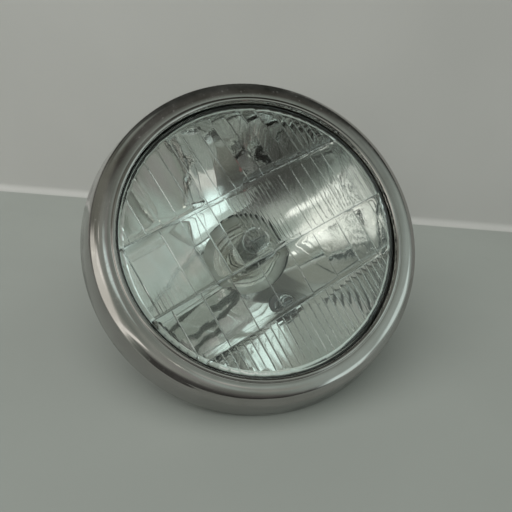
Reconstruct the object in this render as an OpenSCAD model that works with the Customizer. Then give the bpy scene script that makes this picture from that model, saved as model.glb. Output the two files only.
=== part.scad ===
// Round motorcycle headlight: a chromed rim, and a lens unit that tilts inside it to aim the beam.
// The lamp looks along -Y and stands upright along +Z. The origin is the centre of the rim's rear edge.
// Profiles are (radius, distance behind the rear edge), so points in front of that edge are negative.

/* [Rim] */
// Outer diameter of the rear edge
rim_d = 180; // [178:1:184]
// Diameter over the front corner
corner_d = 169.6; // [168:0.2:171]
// Distance of the front corner from the rear edge
corner_y = 15.2; // [14:0.2:16]
// Clear opening inside the rolled bead
opening_d = 143.8; // [143.4:0.2:144.6]
// Thickness of the pressed sheet
sheet_t = 0.9; // [0.7:0.1:0.9]

/* [Lens unit] */
// Diameter of the glass that shows in the opening
lens_d = 142.2; // [141.4:0.2:142.4]
// How far the glass domes forward of its edge
dome_h = 4.8; // [3:0.2:6]
// Thickness of the glass
glass_t = 3.2; // [2.6:0.2:3.4]
// Focal length of the reflector
focal = 25.2; // [25:0.1:25.4]
// Diameter of the hole in the reflector's neck
neck_d = 47.6; // [46:0.2:48]
// Distance of the position lamp below the bulb
pilot_drop = 36.6; // [36.4:0.1:37]

/* [Aiming] */
// Radius from the lamp's axis to the aim screw
screw_at = 80.6; // [80.5:0.1:80.8]
// Free length of the spring between nut and clip
spring_l = 7.2; // [7:0.1:7.2]
// Turns of the spring
spring_turns = 5; // [4:1:6]

/* [Fixings] */
// Angle of each fixing screw from the lowest point
fixing_angle = 48; // [40:1:54]
// Diameter of the thread in the fixing nuts
fixing_d = 4.2; // [4:0.1:5]

/* [Hidden] */

FN_BIG = 180;
FN_SMALL = 48;
CUT = 200;

// Clock angles: 0 is the viewer's right, 90 the lowest point, 180 the left and 270 the top.
RIGHT = 0;
BOTTOM = 90;
TOP = 270;

rim_r = rim_d / 2;
corner_r = corner_d / 2;
opening_r = opening_d / 2;
skirt_slope = (rim_r - corner_r) / corner_y;
sheet_along_r = sheet_t * sqrt(1 + skirt_slope * skirt_slope);
bead_wall_y = -11;

lens_r = lens_d / 2;
lens_edge_y = -16;
lens_face_y = -18.2;
lens_wall_t = 3;
lens_flange_r = 77;
flange_front_y = -6.5;
flange_back_y = -2.5;
gasket_t = 0.8;
dish_t = 0.8;
dish_front_y = flange_back_y + gasket_t;
dish_back_y = dish_front_y + dish_t;
rolled_r = 78.2;
mirror_gap = 1.3;
mirror_r = lens_r - lens_wall_t - mirror_gap;
mirror_edge_y = -12.2;
vertex_y = mirror_edge_y + mirror_r * mirror_r / (4 * focal);

ring_t = 1.5;
ring_in_r = 71.5;
ring_out_r = 78.6;
ring_back_y = dish_back_y + ring_t;
pivot_y = -4;
pivot_pin_r = 2;
ear_r = 80.2;
ear_t = 1.2;
bracket_r = 83;
bracket_t = 1.2;
running_gap = 0.05;

nut_w = 7;
nut_t = 3.2;
screw_r = 2;
thread_gap = 0.45;
clip_y = ring_back_y + nut_t + spring_l;
clip_t = 0.8;
arm_back_y = 12;
arm_t = 1.2;
head_t = 3;

neck_r = neck_d / 2;
seat_y = 31.2;
seat_t = 1.2;
seat_in_r = 18.6;
collar_in_r = neck_r + dish_t;
collar_r = collar_in_r + 1.2;
collar_front_y = 27;
collar_back_y = 38.6;
rivet_y = 29.1;
rivet_r = 1.2;
rivet_head_r = 2;
rivet_head_t = 0.7;
THIRDS = [30, 150, 270];
flange_y = seat_y + seat_t;
flange_t = 0.8;
lock_y = flange_y + flange_t + 0.3;
lock_t = 1;
lock_in_r = 14;
lock_out_r = collar_in_r - 0.4;
lock_back_y = lock_y + 3.2;
bulb_r = 8;
base_r = 11;
base_front_y = 24;
base_back_y = 37.6;
glass_end_y = 34.6;
tip_y = -3;
blade_front_y = 41.6;
blade_back_y = 59.6;
boot_wall = 1.6;
boot_back_y = 73;
boot_collar_r = 22;

pilot_y = vertex_y - pilot_drop * pilot_drop / (4 * focal);
pilot_hole_r = 7.5;
pilot_boss_y = pilot_y + 6.5;
pilot_tip_y = pilot_y - 10;

// Plane geometry for profiles
function unit(v) = v / norm(v);
function left(v) = [-v[1], v[0]];
function edge_normal(p, i) = left(unit(p[i + 1] - p[i]));
function vertex_normal(p, i) =
    i == 0 ? edge_normal(p, 0) :
    i == len(p) - 1 ? edge_normal(p, i - 1) :
    let (a = edge_normal(p, i - 1), b = edge_normal(p, i)) (a + b) / (1 + a * b);
// A closed outline of a sheet whose one side is the path p, and whose other side is t to the left of it
function sheet(p, t) = concat(p, [for (i = [len(p) - 1:-1:0]) p[i] + t * vertex_normal(p, i)]);
// Points on the arc from a to b that bulges h to the left of the chord
function arc_points(a, b, h, n) =
    let (
        c = norm(b - a) / 2,
        radius = (c * c + h * h) / (2 * h),
        along = (b - a) / (2 * c),
        side = left(along),
        centre = (a + b) / 2 + side * (h - radius),
        half = asin(c / radius)
    )
    [for (i = [0:n]) let (t = half * (2 * i / n - 1)) centre + radius * (side * cos(t) + along * sin(t))];
// Radius of the skirt's inner face at distance y from the rear edge
function skirt_in_r(y) = rim_r - sheet_along_r + skirt_slope * y;
// Distance behind the rear edge of the mirror at radius r
function mirror_y(r) = vertex_y - r * r / (4 * focal);

// A profile turned about the lamp's axis, all round or over an angle centred on a clock position
module turned(angle = 360, at = RIGHT, points) {
    rotate([-90, 0, 0])
        rotate([0, 0, angle < 360 ? at - angle / 2 : 0])
            rotate_extrude(angle = angle, $fn = FN_BIG)
                polygon(points);
}

// A ring of rectangular section
module ring(r_in, r_out, y0, y1, angle = 360, at = RIGHT) {
    turned(angle, at, [[r_in, y0], [r_out, y0], [r_out, y1], [r_in, y1]]);
}

// Moves what is drawn at the right, on +X, to a clock position
module clock(at) {
    rotate([0, at, 0])
        children();
}

// A rod along Y from y0 to y1
module rod_y(r, y0, y1, fn = FN_SMALL) {
    translate([0, y0, 0])
        rotate([-90, 0, 0])
            cylinder(r = r, h = y1 - y0, $fn = fn);
}

// A rod along X from x0 to x1
module rod_x(r, x0, x1, fn = FN_SMALL) {
    translate([x0, 0, 0])
        rotate([0, 90, 0])
            cylinder(r = r, h = x1 - x0, $fn = fn);
}

// A box from its low corner to its high corner
module block(low, high) {
    translate(low)
        cube(high - low);
}

// Rim and what is fixed to it

face_y = -16.9;
bead_y = -19.3;
bead_out_r = 74.4;
rim_path = concat(
    [[rim_r + 3 * skirt_slope, 3]],
    arc_points([corner_r, -corner_y], [corner_r - 1.3, face_y], 0.18, 3),
    arc_points([corner_r - 2.2, face_y - 0.6], [bead_out_r, bead_y], 0.9, 6),
    arc_points([bead_out_r - 0.3, bead_y - 0.1], [opening_r, bead_y + 0.5], 0.95, 6),
    [[opening_r, bead_wall_y]]
);

module rim() {
    color("silver")
        difference() {
            turned(points = sheet(rim_path, -sheet_t));
            ring(rim_r - 6, rim_r + 6, 0, 5);
        }
}

hook_t = 1.2;
hook_r = 85;

module top_hook() {
    color("gray")
        turned(16, TOP, [
            [skirt_in_r(-7.5), -7.5], [skirt_in_r(-3.5), -3.5], [hook_r + hook_t, 0],
            [hook_r + hook_t, 7.8], [rim_r - 1.4, 7.8], [rim_r - 1.4, 9], [hook_r, 9], [hook_r, -0.4],
            [skirt_in_r(-3.9) - hook_t, -3.9], [skirt_in_r(-7.5) - hook_t, -7.5]
        ]);
}

tab_t = 1.4;
tab_r = 84.6;
tab_angle = 13;
fixing_y = 9;

module at_fixings() {
    for (side = [-1, 1])
        clock(BOTTOM + side * fixing_angle)
            children();
}

module fixing_tabs() {
    color("gray")
        at_fixings()
            difference() {
                turned(tab_angle, RIGHT, [
                    [skirt_in_r(-10), -10], [skirt_in_r(-4), -4], [tab_r, -1], [tab_r, 15],
                    [tab_r - tab_t, 15], [tab_r - tab_t, -1.6], [skirt_in_r(-10) - tab_t, -10]
                ]);
                translate([0, fixing_y, 0])
                    rod_x(fixing_d / 2 + 0.6, 70, 95);
            }
}

nut_in_r = 79;
nut_half = 4;

module fixing_nuts() {
    color("silver")
        at_fixings()
            difference() {
                block([nut_in_r, fixing_y - nut_half, -nut_half], [tab_r, fixing_y + nut_half, nut_half]);
                ring(tab_r - tab_t, tab_r + 5, fixing_y - 6, fixing_y + 6);
                translate([0, fixing_y, 0])
                    rod_x(fixing_d / 2, 70, 95);
            }
}

pivot_angle = 13;
// Outline of a pivot bracket, from its rear end forward to its foot on the skirt
function bracket_outline(back_y) = [
    [bracket_r, back_y], [bracket_r + bracket_t, back_y], [bracket_r + bracket_t, -8], [skirt_in_r(-8), -8],
    [skirt_in_r(-13), -13], [skirt_in_r(-13) - bracket_t, -13], [skirt_in_r(-9.2) - bracket_t, -9.2],
    [bracket_r, -9.2]
];

module pivot_bracket(at) {
    color("gray")
        difference() {
            turned(pivot_angle, at, bracket_outline(3));
            clock(at)
                translate([0, pivot_y, 0])
                    rod_x(pivot_pin_r + running_gap, 70, 95);
        }
}

module pivot_bracket_upper() {
    pivot_bracket(TOP);
}

module pivot_bracket_lower() {
    pivot_bracket(BOTTOM);
}

arm_r = 84.8;
arm_in_r = 76.4;
arm_angle = 10;

module adjuster_bracket() {
    color("gray")
        difference() {
            turned(arm_angle, RIGHT, [
                [arm_in_r, arm_back_y], [arm_r, arm_back_y], [arm_r, -9.2],
                [skirt_in_r(-9.2) - arm_t, -9.2], [skirt_in_r(-13) - arm_t, -13],
                [skirt_in_r(-13), -13], [skirt_in_r(-8), -8],
                [arm_r + arm_t, -8], [arm_r + arm_t, arm_back_y + arm_t], [arm_in_r, arm_back_y + arm_t]
            ]);
            translate([screw_at, 0, 0])
                rod_y(screw_r + running_gap, 5, 20);
        }
}

// Aim screw

module adjuster_screw() {
    head_y = arm_back_y + arm_t + 0.1;
    color("silver")
        translate([screw_at, 0, 0])
            difference() {
                union() {
                    rod_y(screw_r, -6, head_y);
                    rod_y(3.6, head_y, head_y + head_t);
                }
                ring(1.6, 2.6, clip_y, clip_y + clip_t);
                block([-5, head_y + head_t - 1.4, -0.5], [5, head_y + head_t + 1, 0.5]);
            }
}

module adjuster_clip() {
    color("dimgray")
        translate([screw_at, 0, 0])
            difference() {
                ring(1.6, 3.5, clip_y, clip_y + clip_t);
                block([-1.2, clip_y - 1, 0], [1.2, clip_y + 2, 5]);
            }
}

spring_r = 2.9;
wire_r = 0.35;
spring_sides = 6;
spring_steps = 16;
spring_y = ring_back_y + nut_t + wire_r + 0.02;

function coil_point(i) =
    let (turn = i / spring_steps)
    [
        spring_r * cos(360 * turn),
        spring_y + (spring_l - 2 * wire_r - 0.04) * turn / spring_turns,
        spring_r * sin(360 * turn)
    ];
function coil_ring(i) =
    let (a = 360 * i / spring_steps, c = coil_point(i), out = [cos(a), 0, sin(a)])
    [
        for (k = [0:spring_sides - 1])
            let (t = 360 * k / spring_sides)
            c + wire_r * (cos(t) * out + [0, sin(t), 0])
    ];

module adjuster_spring() {
    n = spring_steps * spring_turns;
    points = [for (i = [0:n]) each coil_ring(i)];
    walls = [
        for (i = [0:n - 1], k = [0:spring_sides - 1])
            let (a = i * spring_sides, b = (i + 1) * spring_sides, j = (k + 1) % spring_sides)
            [a + k, a + j, b + j, b + k]
    ];
    ends = [
        [for (k = [spring_sides - 1:-1:0]) k],
        [for (k = [0:spring_sides - 1]) n * spring_sides + k]
    ];
    color("silver")
        translate([screw_at, 0, 0])
            polyhedron(points, concat(walls, ends), 4);
}

// Lens unit

ear_w = 12;

module pivot_ear(at) {
    clock(at)
        difference() {
            union() {
                block([ring_out_r - 1, dish_back_y, -ear_w / 2], [ear_r + ear_t, ring_back_y, ear_w / 2]);
                block([ear_r, pivot_y - 3.6, -ear_w / 2], [ear_r + ear_t, ring_back_y, ear_w / 2]);
            }
            translate([0, pivot_y, 0])
                rod_x(pivot_pin_r, 70, 95);
        }
}

module unit_ring() {
    color("darkgray")
        difference() {
            union() {
                ring(ring_in_r, ring_out_r, dish_back_y, ring_back_y);
                pivot_ear(TOP);
                pivot_ear(BOTTOM);
                block([ring_out_r - 2, dish_back_y, -6], [84, ring_back_y, 6]);
            }
            translate([screw_at, 0, 0])
                rod_y(screw_r + thread_gap, -3, 3);
        }
}

module ring_clips() {
    color("silver")
        for (at = [45, 135, 225, 315])
            turned(9, at, [
                [76, -7.9], [79.6, -7.9], [79.6, ring_back_y + 0.8], [74.5, ring_back_y + 0.8],
                [74.5, ring_back_y], [78.8, ring_back_y], [78.8, -7.1], [76, -7.1]
            ]);
}

module adjuster_nut() {
    color("goldenrod")
        translate([screw_at, 0, 0])
            difference() {
                block([-nut_w / 2, ring_back_y, -nut_w / 2], [nut_w / 2, ring_back_y + nut_t, nut_w / 2]);
                rod_y(screw_r + thread_gap, -3, 8);
            }
}

module pivot_pin(at) {
    color("silver")
        clock(at)
            translate([0, pivot_y, 0])
                union() {
                    rod_x(3, ear_r - 0.9, ear_r);
                    rod_x(pivot_pin_r, ear_r, bracket_r + bracket_t + 1.2);
                }
}

module pivot_pin_upper() {
    pivot_pin(TOP);
}

module pivot_pin_lower() {
    pivot_pin(BOTTOM);
}

module pivot_washers() {
    color("white")
        for (at = [TOP, BOTTOM])
            clock(at)
                translate([0, pivot_y, 0])
                    difference() {
                        rod_x(3.4, ear_r + ear_t, bracket_r - 0.3);
                        rod_x(pivot_pin_r, 70, 95);
                    }
}

lens_inner_r = lens_r - lens_wall_t;

// Points on a dome of the given rim radius whose rim lies at y
function dome(r, y, n) = [for (i = [0:n]) [r * i / n, y - dome_h * (1 - pow(i / n, 2))]];

module lens() {
    corner = 1.8;
    inside = dome(lens_inner_r - 2, lens_face_y + glass_t, 8);
    color("lightcyan", 0.4)
        turned(points = concat(
            dome(lens_r - corner, lens_face_y, 8),
            [[lens_r - 0.6, lens_face_y + 0.7], [lens_r, lens_edge_y], [lens_r, flange_front_y]],
            [[lens_flange_r, flange_front_y], [lens_flange_r, flange_back_y]],
            [[lens_inner_r, flange_back_y], [lens_inner_r, lens_face_y + glass_t + 2]],
            [for (i = [8:-1:0]) inside[i]]
        ));
}

module lens_gasket() {
    color("dimgray")
        ring(lens_inner_r + 1.5, lens_flange_r, flange_back_y, dish_front_y);
}

dish_steps = 14;
dish_path = [for (i = [0:dish_steps])
    let (r = mirror_r + (neck_r - mirror_r) * i / dish_steps) [r, mirror_y(r)]];

module rivet_holes() {
    for (at = THIRDS)
        clock(at)
            translate([0, rivet_y, 0])
                rod_x(rivet_r, neck_r - 2, collar_r + 2);
}

module reflector() {
    color("gainsboro")
        difference() {
            union() {
                turned(points = sheet(dish_path, -dish_t));
                ring(neck_r, neck_r + dish_t, mirror_y(neck_r), seat_y);
                turned(points = [
                    [mirror_r, mirror_edge_y], [mirror_r + dish_t, mirror_edge_y],
                    [mirror_r + dish_t, dish_front_y], [lens_flange_r + 0.4, dish_front_y],
                    [lens_flange_r + 0.4, -7], [rolled_r, -7],
                    [rolled_r, dish_back_y], [mirror_r, dish_back_y]
                ]);
                translate([0, 0, -pilot_drop])
                    rod_y(pilot_hole_r + dish_t, pilot_y - 8, pilot_boss_y);
            }
            translate([0, 0, -pilot_drop])
                rod_y(pilot_hole_r, 0, CUT);
            turned(points = concat(
                [[0, mirror_edge_y - 1], [mirror_r, mirror_edge_y - 1]],
                dish_path,
                [[0, mirror_y(neck_r)]]
            ));
            rivet_holes();
        }
}

lug_angle = 14;
lug_y = collar_back_y - 0.9;

module bulb_collar() {
    color("silver")
        difference() {
            union() {
                turned(points = [
                    [seat_in_r, seat_y], [collar_in_r, seat_y], [collar_in_r, collar_front_y],
                    [collar_r, collar_front_y], [collar_r, collar_back_y], [collar_in_r, collar_back_y],
                    [collar_in_r, flange_y], [seat_in_r, flange_y]
                ]);
                for (at = THIRDS)
                    ring(collar_in_r - 1.8, collar_in_r + 0.1, lug_y, collar_back_y, lug_angle, at);
            }
            rivet_holes();
        }
}

module collar_rivets() {
    color("silver")
        for (at = THIRDS)
            clock(at)
                translate([0, rivet_y, 0])
                    union() {
                        rod_x(rivet_r, neck_r - rivet_head_t, collar_r + rivet_head_t);
                        rod_x(rivet_head_r, neck_r - rivet_head_t, neck_r - 0.15);
                        rod_x(rivet_head_r, collar_r, collar_r + rivet_head_t);
                    }
}

module bulb_flange() {
    color("silver")
        difference() {
            union() {
                rod_y(20.4, flange_y, flange_y + flange_t, FN_BIG);
                for (at = THIRDS)
                    clock(at)
                        block([18, flange_y, -4], [21.6, flange_y + flange_t, 4]);
            }
            rod_y(base_r, flange_y - 1, flange_y + 2);
        }
}

module bulb_base() {
    color("silver")
        turned(points = [
            [bulb_r, base_front_y], [base_r - 0.6, base_front_y], [base_r, base_front_y + 0.6],
            [base_r, base_back_y], [bulb_r, base_back_y]
        ]);
}

glass_wall = 0.8;

module bulb_glass() {
    color("white", 0.3)
        turned(points = concat(
            [[bulb_r, glass_end_y], [bulb_r, tip_y + 5]],
            [for (i = [1:5]) let (a = 90 * i / 6) [bulb_r * cos(a), tip_y + 5 - 5 * sin(a)]],
            [[0, tip_y], [0, tip_y + glass_wall]],
            [for (i = [5:-1:1]) let (a = 90 * i / 6)
                [(bulb_r - glass_wall) * cos(a), tip_y + 5 - (5 - glass_wall) * sin(a)]],
            [[bulb_r - glass_wall, tip_y + 5], [bulb_r - glass_wall, glass_end_y]]
        ));
}

filament_r = 0.8;
filament_l = 4;
high_y = vertex_y - focal + 0.5;
low_y = high_y - 4.4;
low_z = 0.6;
wire_gap = 0.4;

module bulb_filaments() {
    color("gray")
        union() {
            rod_y(filament_r, high_y - filament_l / 2, high_y + filament_l / 2);
            translate([0, 0, low_z])
                rod_y(filament_r, low_y - filament_l / 2, low_y + filament_l / 2);
        }
}

lead_x = 5;
lead_r = 0.5;

module bulb_supports() {
    color("silver")
        union() {
            translate([0, 0, -4.5])
                rod_y(lead_r, low_y - 2.8, glass_end_y);
            for (side = [-1, 1])
                translate([side * lead_x, 0, 0])
                    rod_y(lead_r, side < 0 ? high_y - 3 : low_y - 3, glass_end_y);
            translate([0, high_y - filament_l / 2 + wire_gap, 0])
                rod_x(wire_gap, -lead_x, 0);
            translate([0, high_y + filament_l / 2 - wire_gap, 0])
                rod_x(wire_gap, 0, lead_x);
            translate([0, low_y - filament_l / 2 + wire_gap, low_z])
                rod_x(wire_gap, 0, lead_x);
            rod_y(bulb_r - glass_wall, glass_end_y - 4, glass_end_y - 1);
        }
}

module bulb_shield() {
    cup_r = 4.2;
    color("silver")
        difference() {
            rod_y(cup_r, low_y - 2.8, low_y + 2.3);
            rod_y(cup_r - 0.4, low_y - 2.4, low_y + 1.9);
            block([-6, low_y - 8, -0.4], [6, low_y + 8, 8]);
        }
}

module bulb_insulator() {
    color("ivory")
        union() {
            rod_y(base_r + 1.6, base_back_y, blade_front_y);
            block([-10, blade_front_y, -8], [10, blade_front_y + 2, 8]);
        }
}

module bulb_terminals() {
    color("silver")
        union() {
            block([-8.4, blade_front_y + 2, -4], [-7.6, blade_back_y, 4]);
            block([7.6, blade_front_y + 2, -4], [8.4, blade_back_y, 4]);
            block([-4, blade_front_y + 2, 6.6], [4, blade_back_y, 7.4]);
        }
}

// Pieces behind the reflector that come off by hand

lock_turn = 25;
lock_wall_r = lock_out_r - 1.6;

module bulb_lock_ring() {
    color("silver")
        difference() {
            union() {
                ring(lock_in_r, lock_out_r, lock_y, lock_y + lock_t);
                ring(lock_out_r - 1, lock_out_r, lock_y, lock_back_y);
                for (at = THIRDS)
                    clock(at)
                        block([16, lock_y + lock_t - 0.1, -0.6], [lock_out_r - 0.5, lock_back_y, 0.6]);
            }
            for (at = THIRDS) {
                ring(19, lock_out_r - 2.4, lock_y - 1, lock_y + lock_t + 1, 50, at + 60);
                ring(lock_wall_r, CUT, lock_y - 1, lock_back_y + 1, lug_angle + 4, at - lock_turn);
            }
        }
}

slot_gap = 0.5;
boot_fit_r = collar_r + 0.3;
boot_out_r = boot_fit_r + boot_wall;
boot_bore_r = boot_collar_r - boot_wall;
boot_front_y = 31.6;
boot_step_y = 40.6;
boot_wall_y = 52.6;

// A slot through the boot's end wall for a blade with these low and high corners
module blade_slot(low, high) {
    block(
        [low[0] - slot_gap, boot_step_y, low[1] - slot_gap],
        [high[0] + slot_gap, CUT, high[1] + slot_gap]
    );
}

module rubber_boot() {
    outer = [
        [boot_out_r, boot_front_y], [boot_out_r + 0.5, boot_front_y + 1.5],
        [boot_out_r + 0.5, boot_front_y + 3], [boot_out_r, boot_front_y + 4.5],
        [boot_out_r, boot_step_y], [boot_out_r - 1.4, boot_step_y + 2.2],
        [boot_collar_r + 3.2, boot_step_y + 3.2], [boot_collar_r + 2, boot_step_y + 5],
        [boot_collar_r + 0.6, boot_wall_y - 1], [boot_collar_r, boot_wall_y + 1],
        [boot_collar_r, boot_back_y - 2.4], [boot_collar_r + 0.6, boot_back_y - 1.6],
        [boot_collar_r + 0.6, boot_back_y]
    ];
    inner = [
        [boot_bore_r, boot_back_y], [boot_bore_r, boot_wall_y], [0, boot_wall_y],
        [0, boot_wall_y - boot_wall], [boot_bore_r - 0.4, boot_wall_y - boot_wall],
        [boot_collar_r - 0.4, boot_step_y + 4.4], [boot_collar_r + 1.4, boot_step_y + 1.4],
        [boot_fit_r - 1.6, boot_step_y + 0.4], [boot_fit_r - 1.2, boot_step_y - 1.5],
        [boot_fit_r, boot_step_y - 1.5], [boot_fit_r, boot_front_y]
    ];
    color("black")
        difference() {
            turned(points = concat(outer, inner));
            blade_slot([-8.4, -4], [-7.6, 4]);
            blade_slot([7.6, -4], [8.4, 4]);
            blade_slot([-4, 6.6], [4, 7.4]);
        }
}

contact_x = 2.4;
contact_w = 1.6;
contact_t = 0.8;

module pilot_contact_blocks(y0, y1) {
    for (x = [-contact_x, contact_x])
        block([x - contact_w / 2, y0, -contact_t / 2], [x + contact_w / 2, y1, contact_t / 2]);
}

module pilot_holder() {
    color("black")
        translate([0, 0, -pilot_drop])
            difference() {
                union() {
                    rod_y(pilot_hole_r - 0.3, pilot_y + 3, pilot_boss_y + 0.2);
                    rod_y(pilot_hole_r + 0.5, pilot_boss_y + 0.2, pilot_boss_y + 2.4);
                    rod_y(pilot_hole_r - 1.5, pilot_boss_y + 2.4, pilot_boss_y + 12);
                }
                rod_y(4.6, pilot_y, pilot_y + 8);
                pilot_contact_blocks(pilot_y + 5, CUT);
            }
}

module pilot_bulb() {
    color("white", 0.4)
        translate([0, 0, -pilot_drop])
            turned(points = concat(
                [[0, pilot_y + 8], [4.2, pilot_y + 8], [4.4, pilot_y + 4]],
                [for (i = [0:6]) let (a = 90 * i / 6) [4.9 * cos(a), pilot_tip_y + 4.9 - 4.9 * sin(a)]],
                [[0, pilot_tip_y + 0.7]],
                [for (i = [5:-1:0]) let (a = 90 * i / 6) [4.2 * cos(a), pilot_tip_y + 4.9 - 4.2 * sin(a)]],
                [[3.6, pilot_y + 3], [0, pilot_y + 3]]
            ));
}

module pilot_filament() {
    color("gray")
        translate([0, 0, -pilot_drop])
            union() {
                block([-2, pilot_tip_y + 4.6, -0.2], [2, pilot_tip_y + 5, 0.2]);
                block([-2.3, pilot_tip_y + 4.6, -0.2], [-1.9, pilot_y + 3, 0.2]);
                block([1.9, pilot_tip_y + 4.6, -0.2], [2.3, pilot_y + 3, 0.2]);
            }
}

module pilot_contacts() {
    color("goldenrod")
        translate([0, 0, -pilot_drop])
            pilot_contact_blocks(pilot_y + 9, pilot_boss_y + 18);
}

rim();
top_hook();
fixing_tabs();
fixing_nuts();
pivot_bracket_upper();
pivot_bracket_lower();
adjuster_bracket();
adjuster_spring();
adjuster_screw();
adjuster_clip();
unit_ring();
ring_clips();
adjuster_nut();
pivot_pin_upper();
pivot_pin_lower();
pivot_washers();
lens();
lens_gasket();
reflector();
bulb_collar();
collar_rivets();
bulb_flange();
bulb_base();
bulb_glass();
bulb_filaments();
bulb_supports();
bulb_shield();
bulb_insulator();
bulb_terminals();
bulb_lock_ring();
rubber_boot();
pilot_holder();
pilot_bulb();
pilot_filament();
pilot_contacts();
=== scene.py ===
"""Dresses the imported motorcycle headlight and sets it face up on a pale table.

Sizes are in millimetres until a mesh is made, and every Blender object is in metres in the part's own
frame: the lamp looks along -Y and stands along +Z, and the origin is the centre of the rim's rear edge.
An outline is a list of (radius, distance behind the rear edge) points.
"""

from __future__ import annotations

import bisect
import logging
import math
from collections.abc import Callable, Iterable
from dataclasses import dataclass, field
from enum import Enum

import bmesh
import bpy
import numpy as np
from mathutils import Matrix, Vector


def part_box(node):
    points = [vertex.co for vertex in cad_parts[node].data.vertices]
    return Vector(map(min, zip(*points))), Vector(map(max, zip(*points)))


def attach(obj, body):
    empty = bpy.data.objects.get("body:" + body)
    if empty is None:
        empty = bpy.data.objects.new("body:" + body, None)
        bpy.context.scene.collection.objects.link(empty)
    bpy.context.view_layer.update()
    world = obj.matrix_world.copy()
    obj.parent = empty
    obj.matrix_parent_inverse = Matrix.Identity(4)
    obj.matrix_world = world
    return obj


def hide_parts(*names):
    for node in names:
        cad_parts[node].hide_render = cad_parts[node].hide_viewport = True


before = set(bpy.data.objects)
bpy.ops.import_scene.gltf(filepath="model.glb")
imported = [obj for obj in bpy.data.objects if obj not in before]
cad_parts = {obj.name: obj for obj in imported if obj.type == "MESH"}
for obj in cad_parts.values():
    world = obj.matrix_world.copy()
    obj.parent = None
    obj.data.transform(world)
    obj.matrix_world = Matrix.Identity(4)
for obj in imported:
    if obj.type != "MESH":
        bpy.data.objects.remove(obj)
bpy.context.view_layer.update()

log = logging.getLogger("headlight")

MM = 0.001
ON_AXIS = 1e-6
MERGE_M = 1e-7
CORNER_SHARE = 0.45
LATHE_CREASE = 35
RUBBER_CREASE = 38
PLATE_CREASE = 50
WIRE_CREASE = 60
Outline = list[tuple[float, float]]
Colour = tuple[float, float, float]
Faces = list[tuple[int, ...]]
Made = bpy.types.Object
Material = bpy.types.Material
Socket = bpy.types.NodeSocket
Sockets = bpy.types.bpy_prop_collection


class Body(Enum):
    """The moving bodies that carry dressed pieces."""

    RIM = "rim_body"
    AIM_SCREW = "aim_screw"
    LENS_UNIT = "lens_unit"
    BOOT = "boot"
    PILOT = "pilot_lamp"


def size_of(node: str) -> Vector:
    """Returns a CAD node's size in millimetres."""
    low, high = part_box(node)
    return (high - low) / MM


def ends_of(node: str) -> tuple[float, float]:
    """Returns where a CAD node starts and ends along the lamp's axis, in millimetres."""
    low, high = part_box(node)
    return low.y / MM, high.y / MM


def middle_z(node: str) -> float:
    """Returns the height of a CAD node's middle, in millimetres."""
    low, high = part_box(node)
    return (low.z + high.z) / 2 / MM


def front_of(node: str) -> float:
    """Returns a dataclass field for where a CAD node starts along the axis."""
    return field(default_factory=lambda: ends_of(node)[0])


def back_of(node: str) -> float:
    """Returns a dataclass field for where a CAD node ends along the axis."""
    return field(default_factory=lambda: ends_of(node)[1])


# Outlines


def arc(start: tuple[float, float], end: tuple[float, float], bulge: float, steps: int) -> Outline:
    """Points on an arc that bulges to the left of its chord.

    Args:
        start: first point.
        end: last point.
        bulge: height of the arc over its chord.
        steps: how many pieces the arc has.

    Returns:
        The arc's points, its ends among them.
    """
    a, b = Vector(start), Vector(end)
    half_chord = (b - a).length / 2
    radius = (half_chord**2 + bulge**2) / (2 * bulge)
    along = (b - a).normalized()
    side = Vector((-along.y, along.x))
    centre = (a + b) / 2 + side * (bulge - radius)
    half_angle = math.asin(half_chord / radius)
    turns = [half_angle * (2 * i / steps - 1) for i in range(steps + 1)]
    return [tuple(centre + radius * (side * math.cos(t) + along * math.sin(t))) for t in turns]


def thickened(path: Outline, thickness: float) -> Outline:
    """Closes a path into the outline of a sheet, with its other side to the right of the path.

    Args:
        path: one side of the sheet.
        thickness: the sheet's thickness.

    Returns:
        The sheet's closed outline.
    """
    points = [Vector(p) for p in path]
    edges = [(b - a).normalized() for a, b in zip(points, points[1:])]
    normals = [Vector((e.y, -e.x)) for e in edges]
    joints = [normals[0], *[(a + b) / (1 + a.dot(b)) for a, b in zip(normals, normals[1:])], normals[-1]]
    other = [tuple(p + thickness * n) for p, n in zip(points, joints)]
    return list(path) + other[::-1]


def softened(outline: Outline, radius: float, steps: int = 3) -> Outline:
    """Rounds each corner of a closed outline, as far as its two sides allow.

    Args:
        outline: the outline with sharp corners.
        radius: how far from a corner the rounding starts.
        steps: how many pieces a rounded corner has.

    Returns:
        The outline with rounded corners.
    """
    points = [Vector(p) for p in outline]
    rounded = []
    for before, corner, after in zip([points[-1], *points[:-1]], points, [*points[1:], points[0]]):
        if corner.x < ON_AXIS:
            rounded.append(tuple(corner))
            continue
        back, on = before - corner, after - corner
        start = corner + back.normalized() * min(radius, back.length * CORNER_SHARE)
        end = corner + on.normalized() * min(radius, on.length * CORNER_SHARE)
        for i in range(steps + 1):
            t = i / steps
            rounded.append(tuple((1 - t) ** 2 * start + 2 * t * (1 - t) * corner + t**2 * end))
    return rounded


# Meshes


def placed(name: str, data: bpy.types.ID) -> Made:
    """Puts a mesh, light or camera into the scene as a new object.

    Args:
        name: the object's name.
        data: its mesh, light or camera.

    Returns:
        The object.
    """
    made = bpy.data.objects.new(name, data)
    bpy.context.scene.collection.objects.link(made)
    return made


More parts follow.
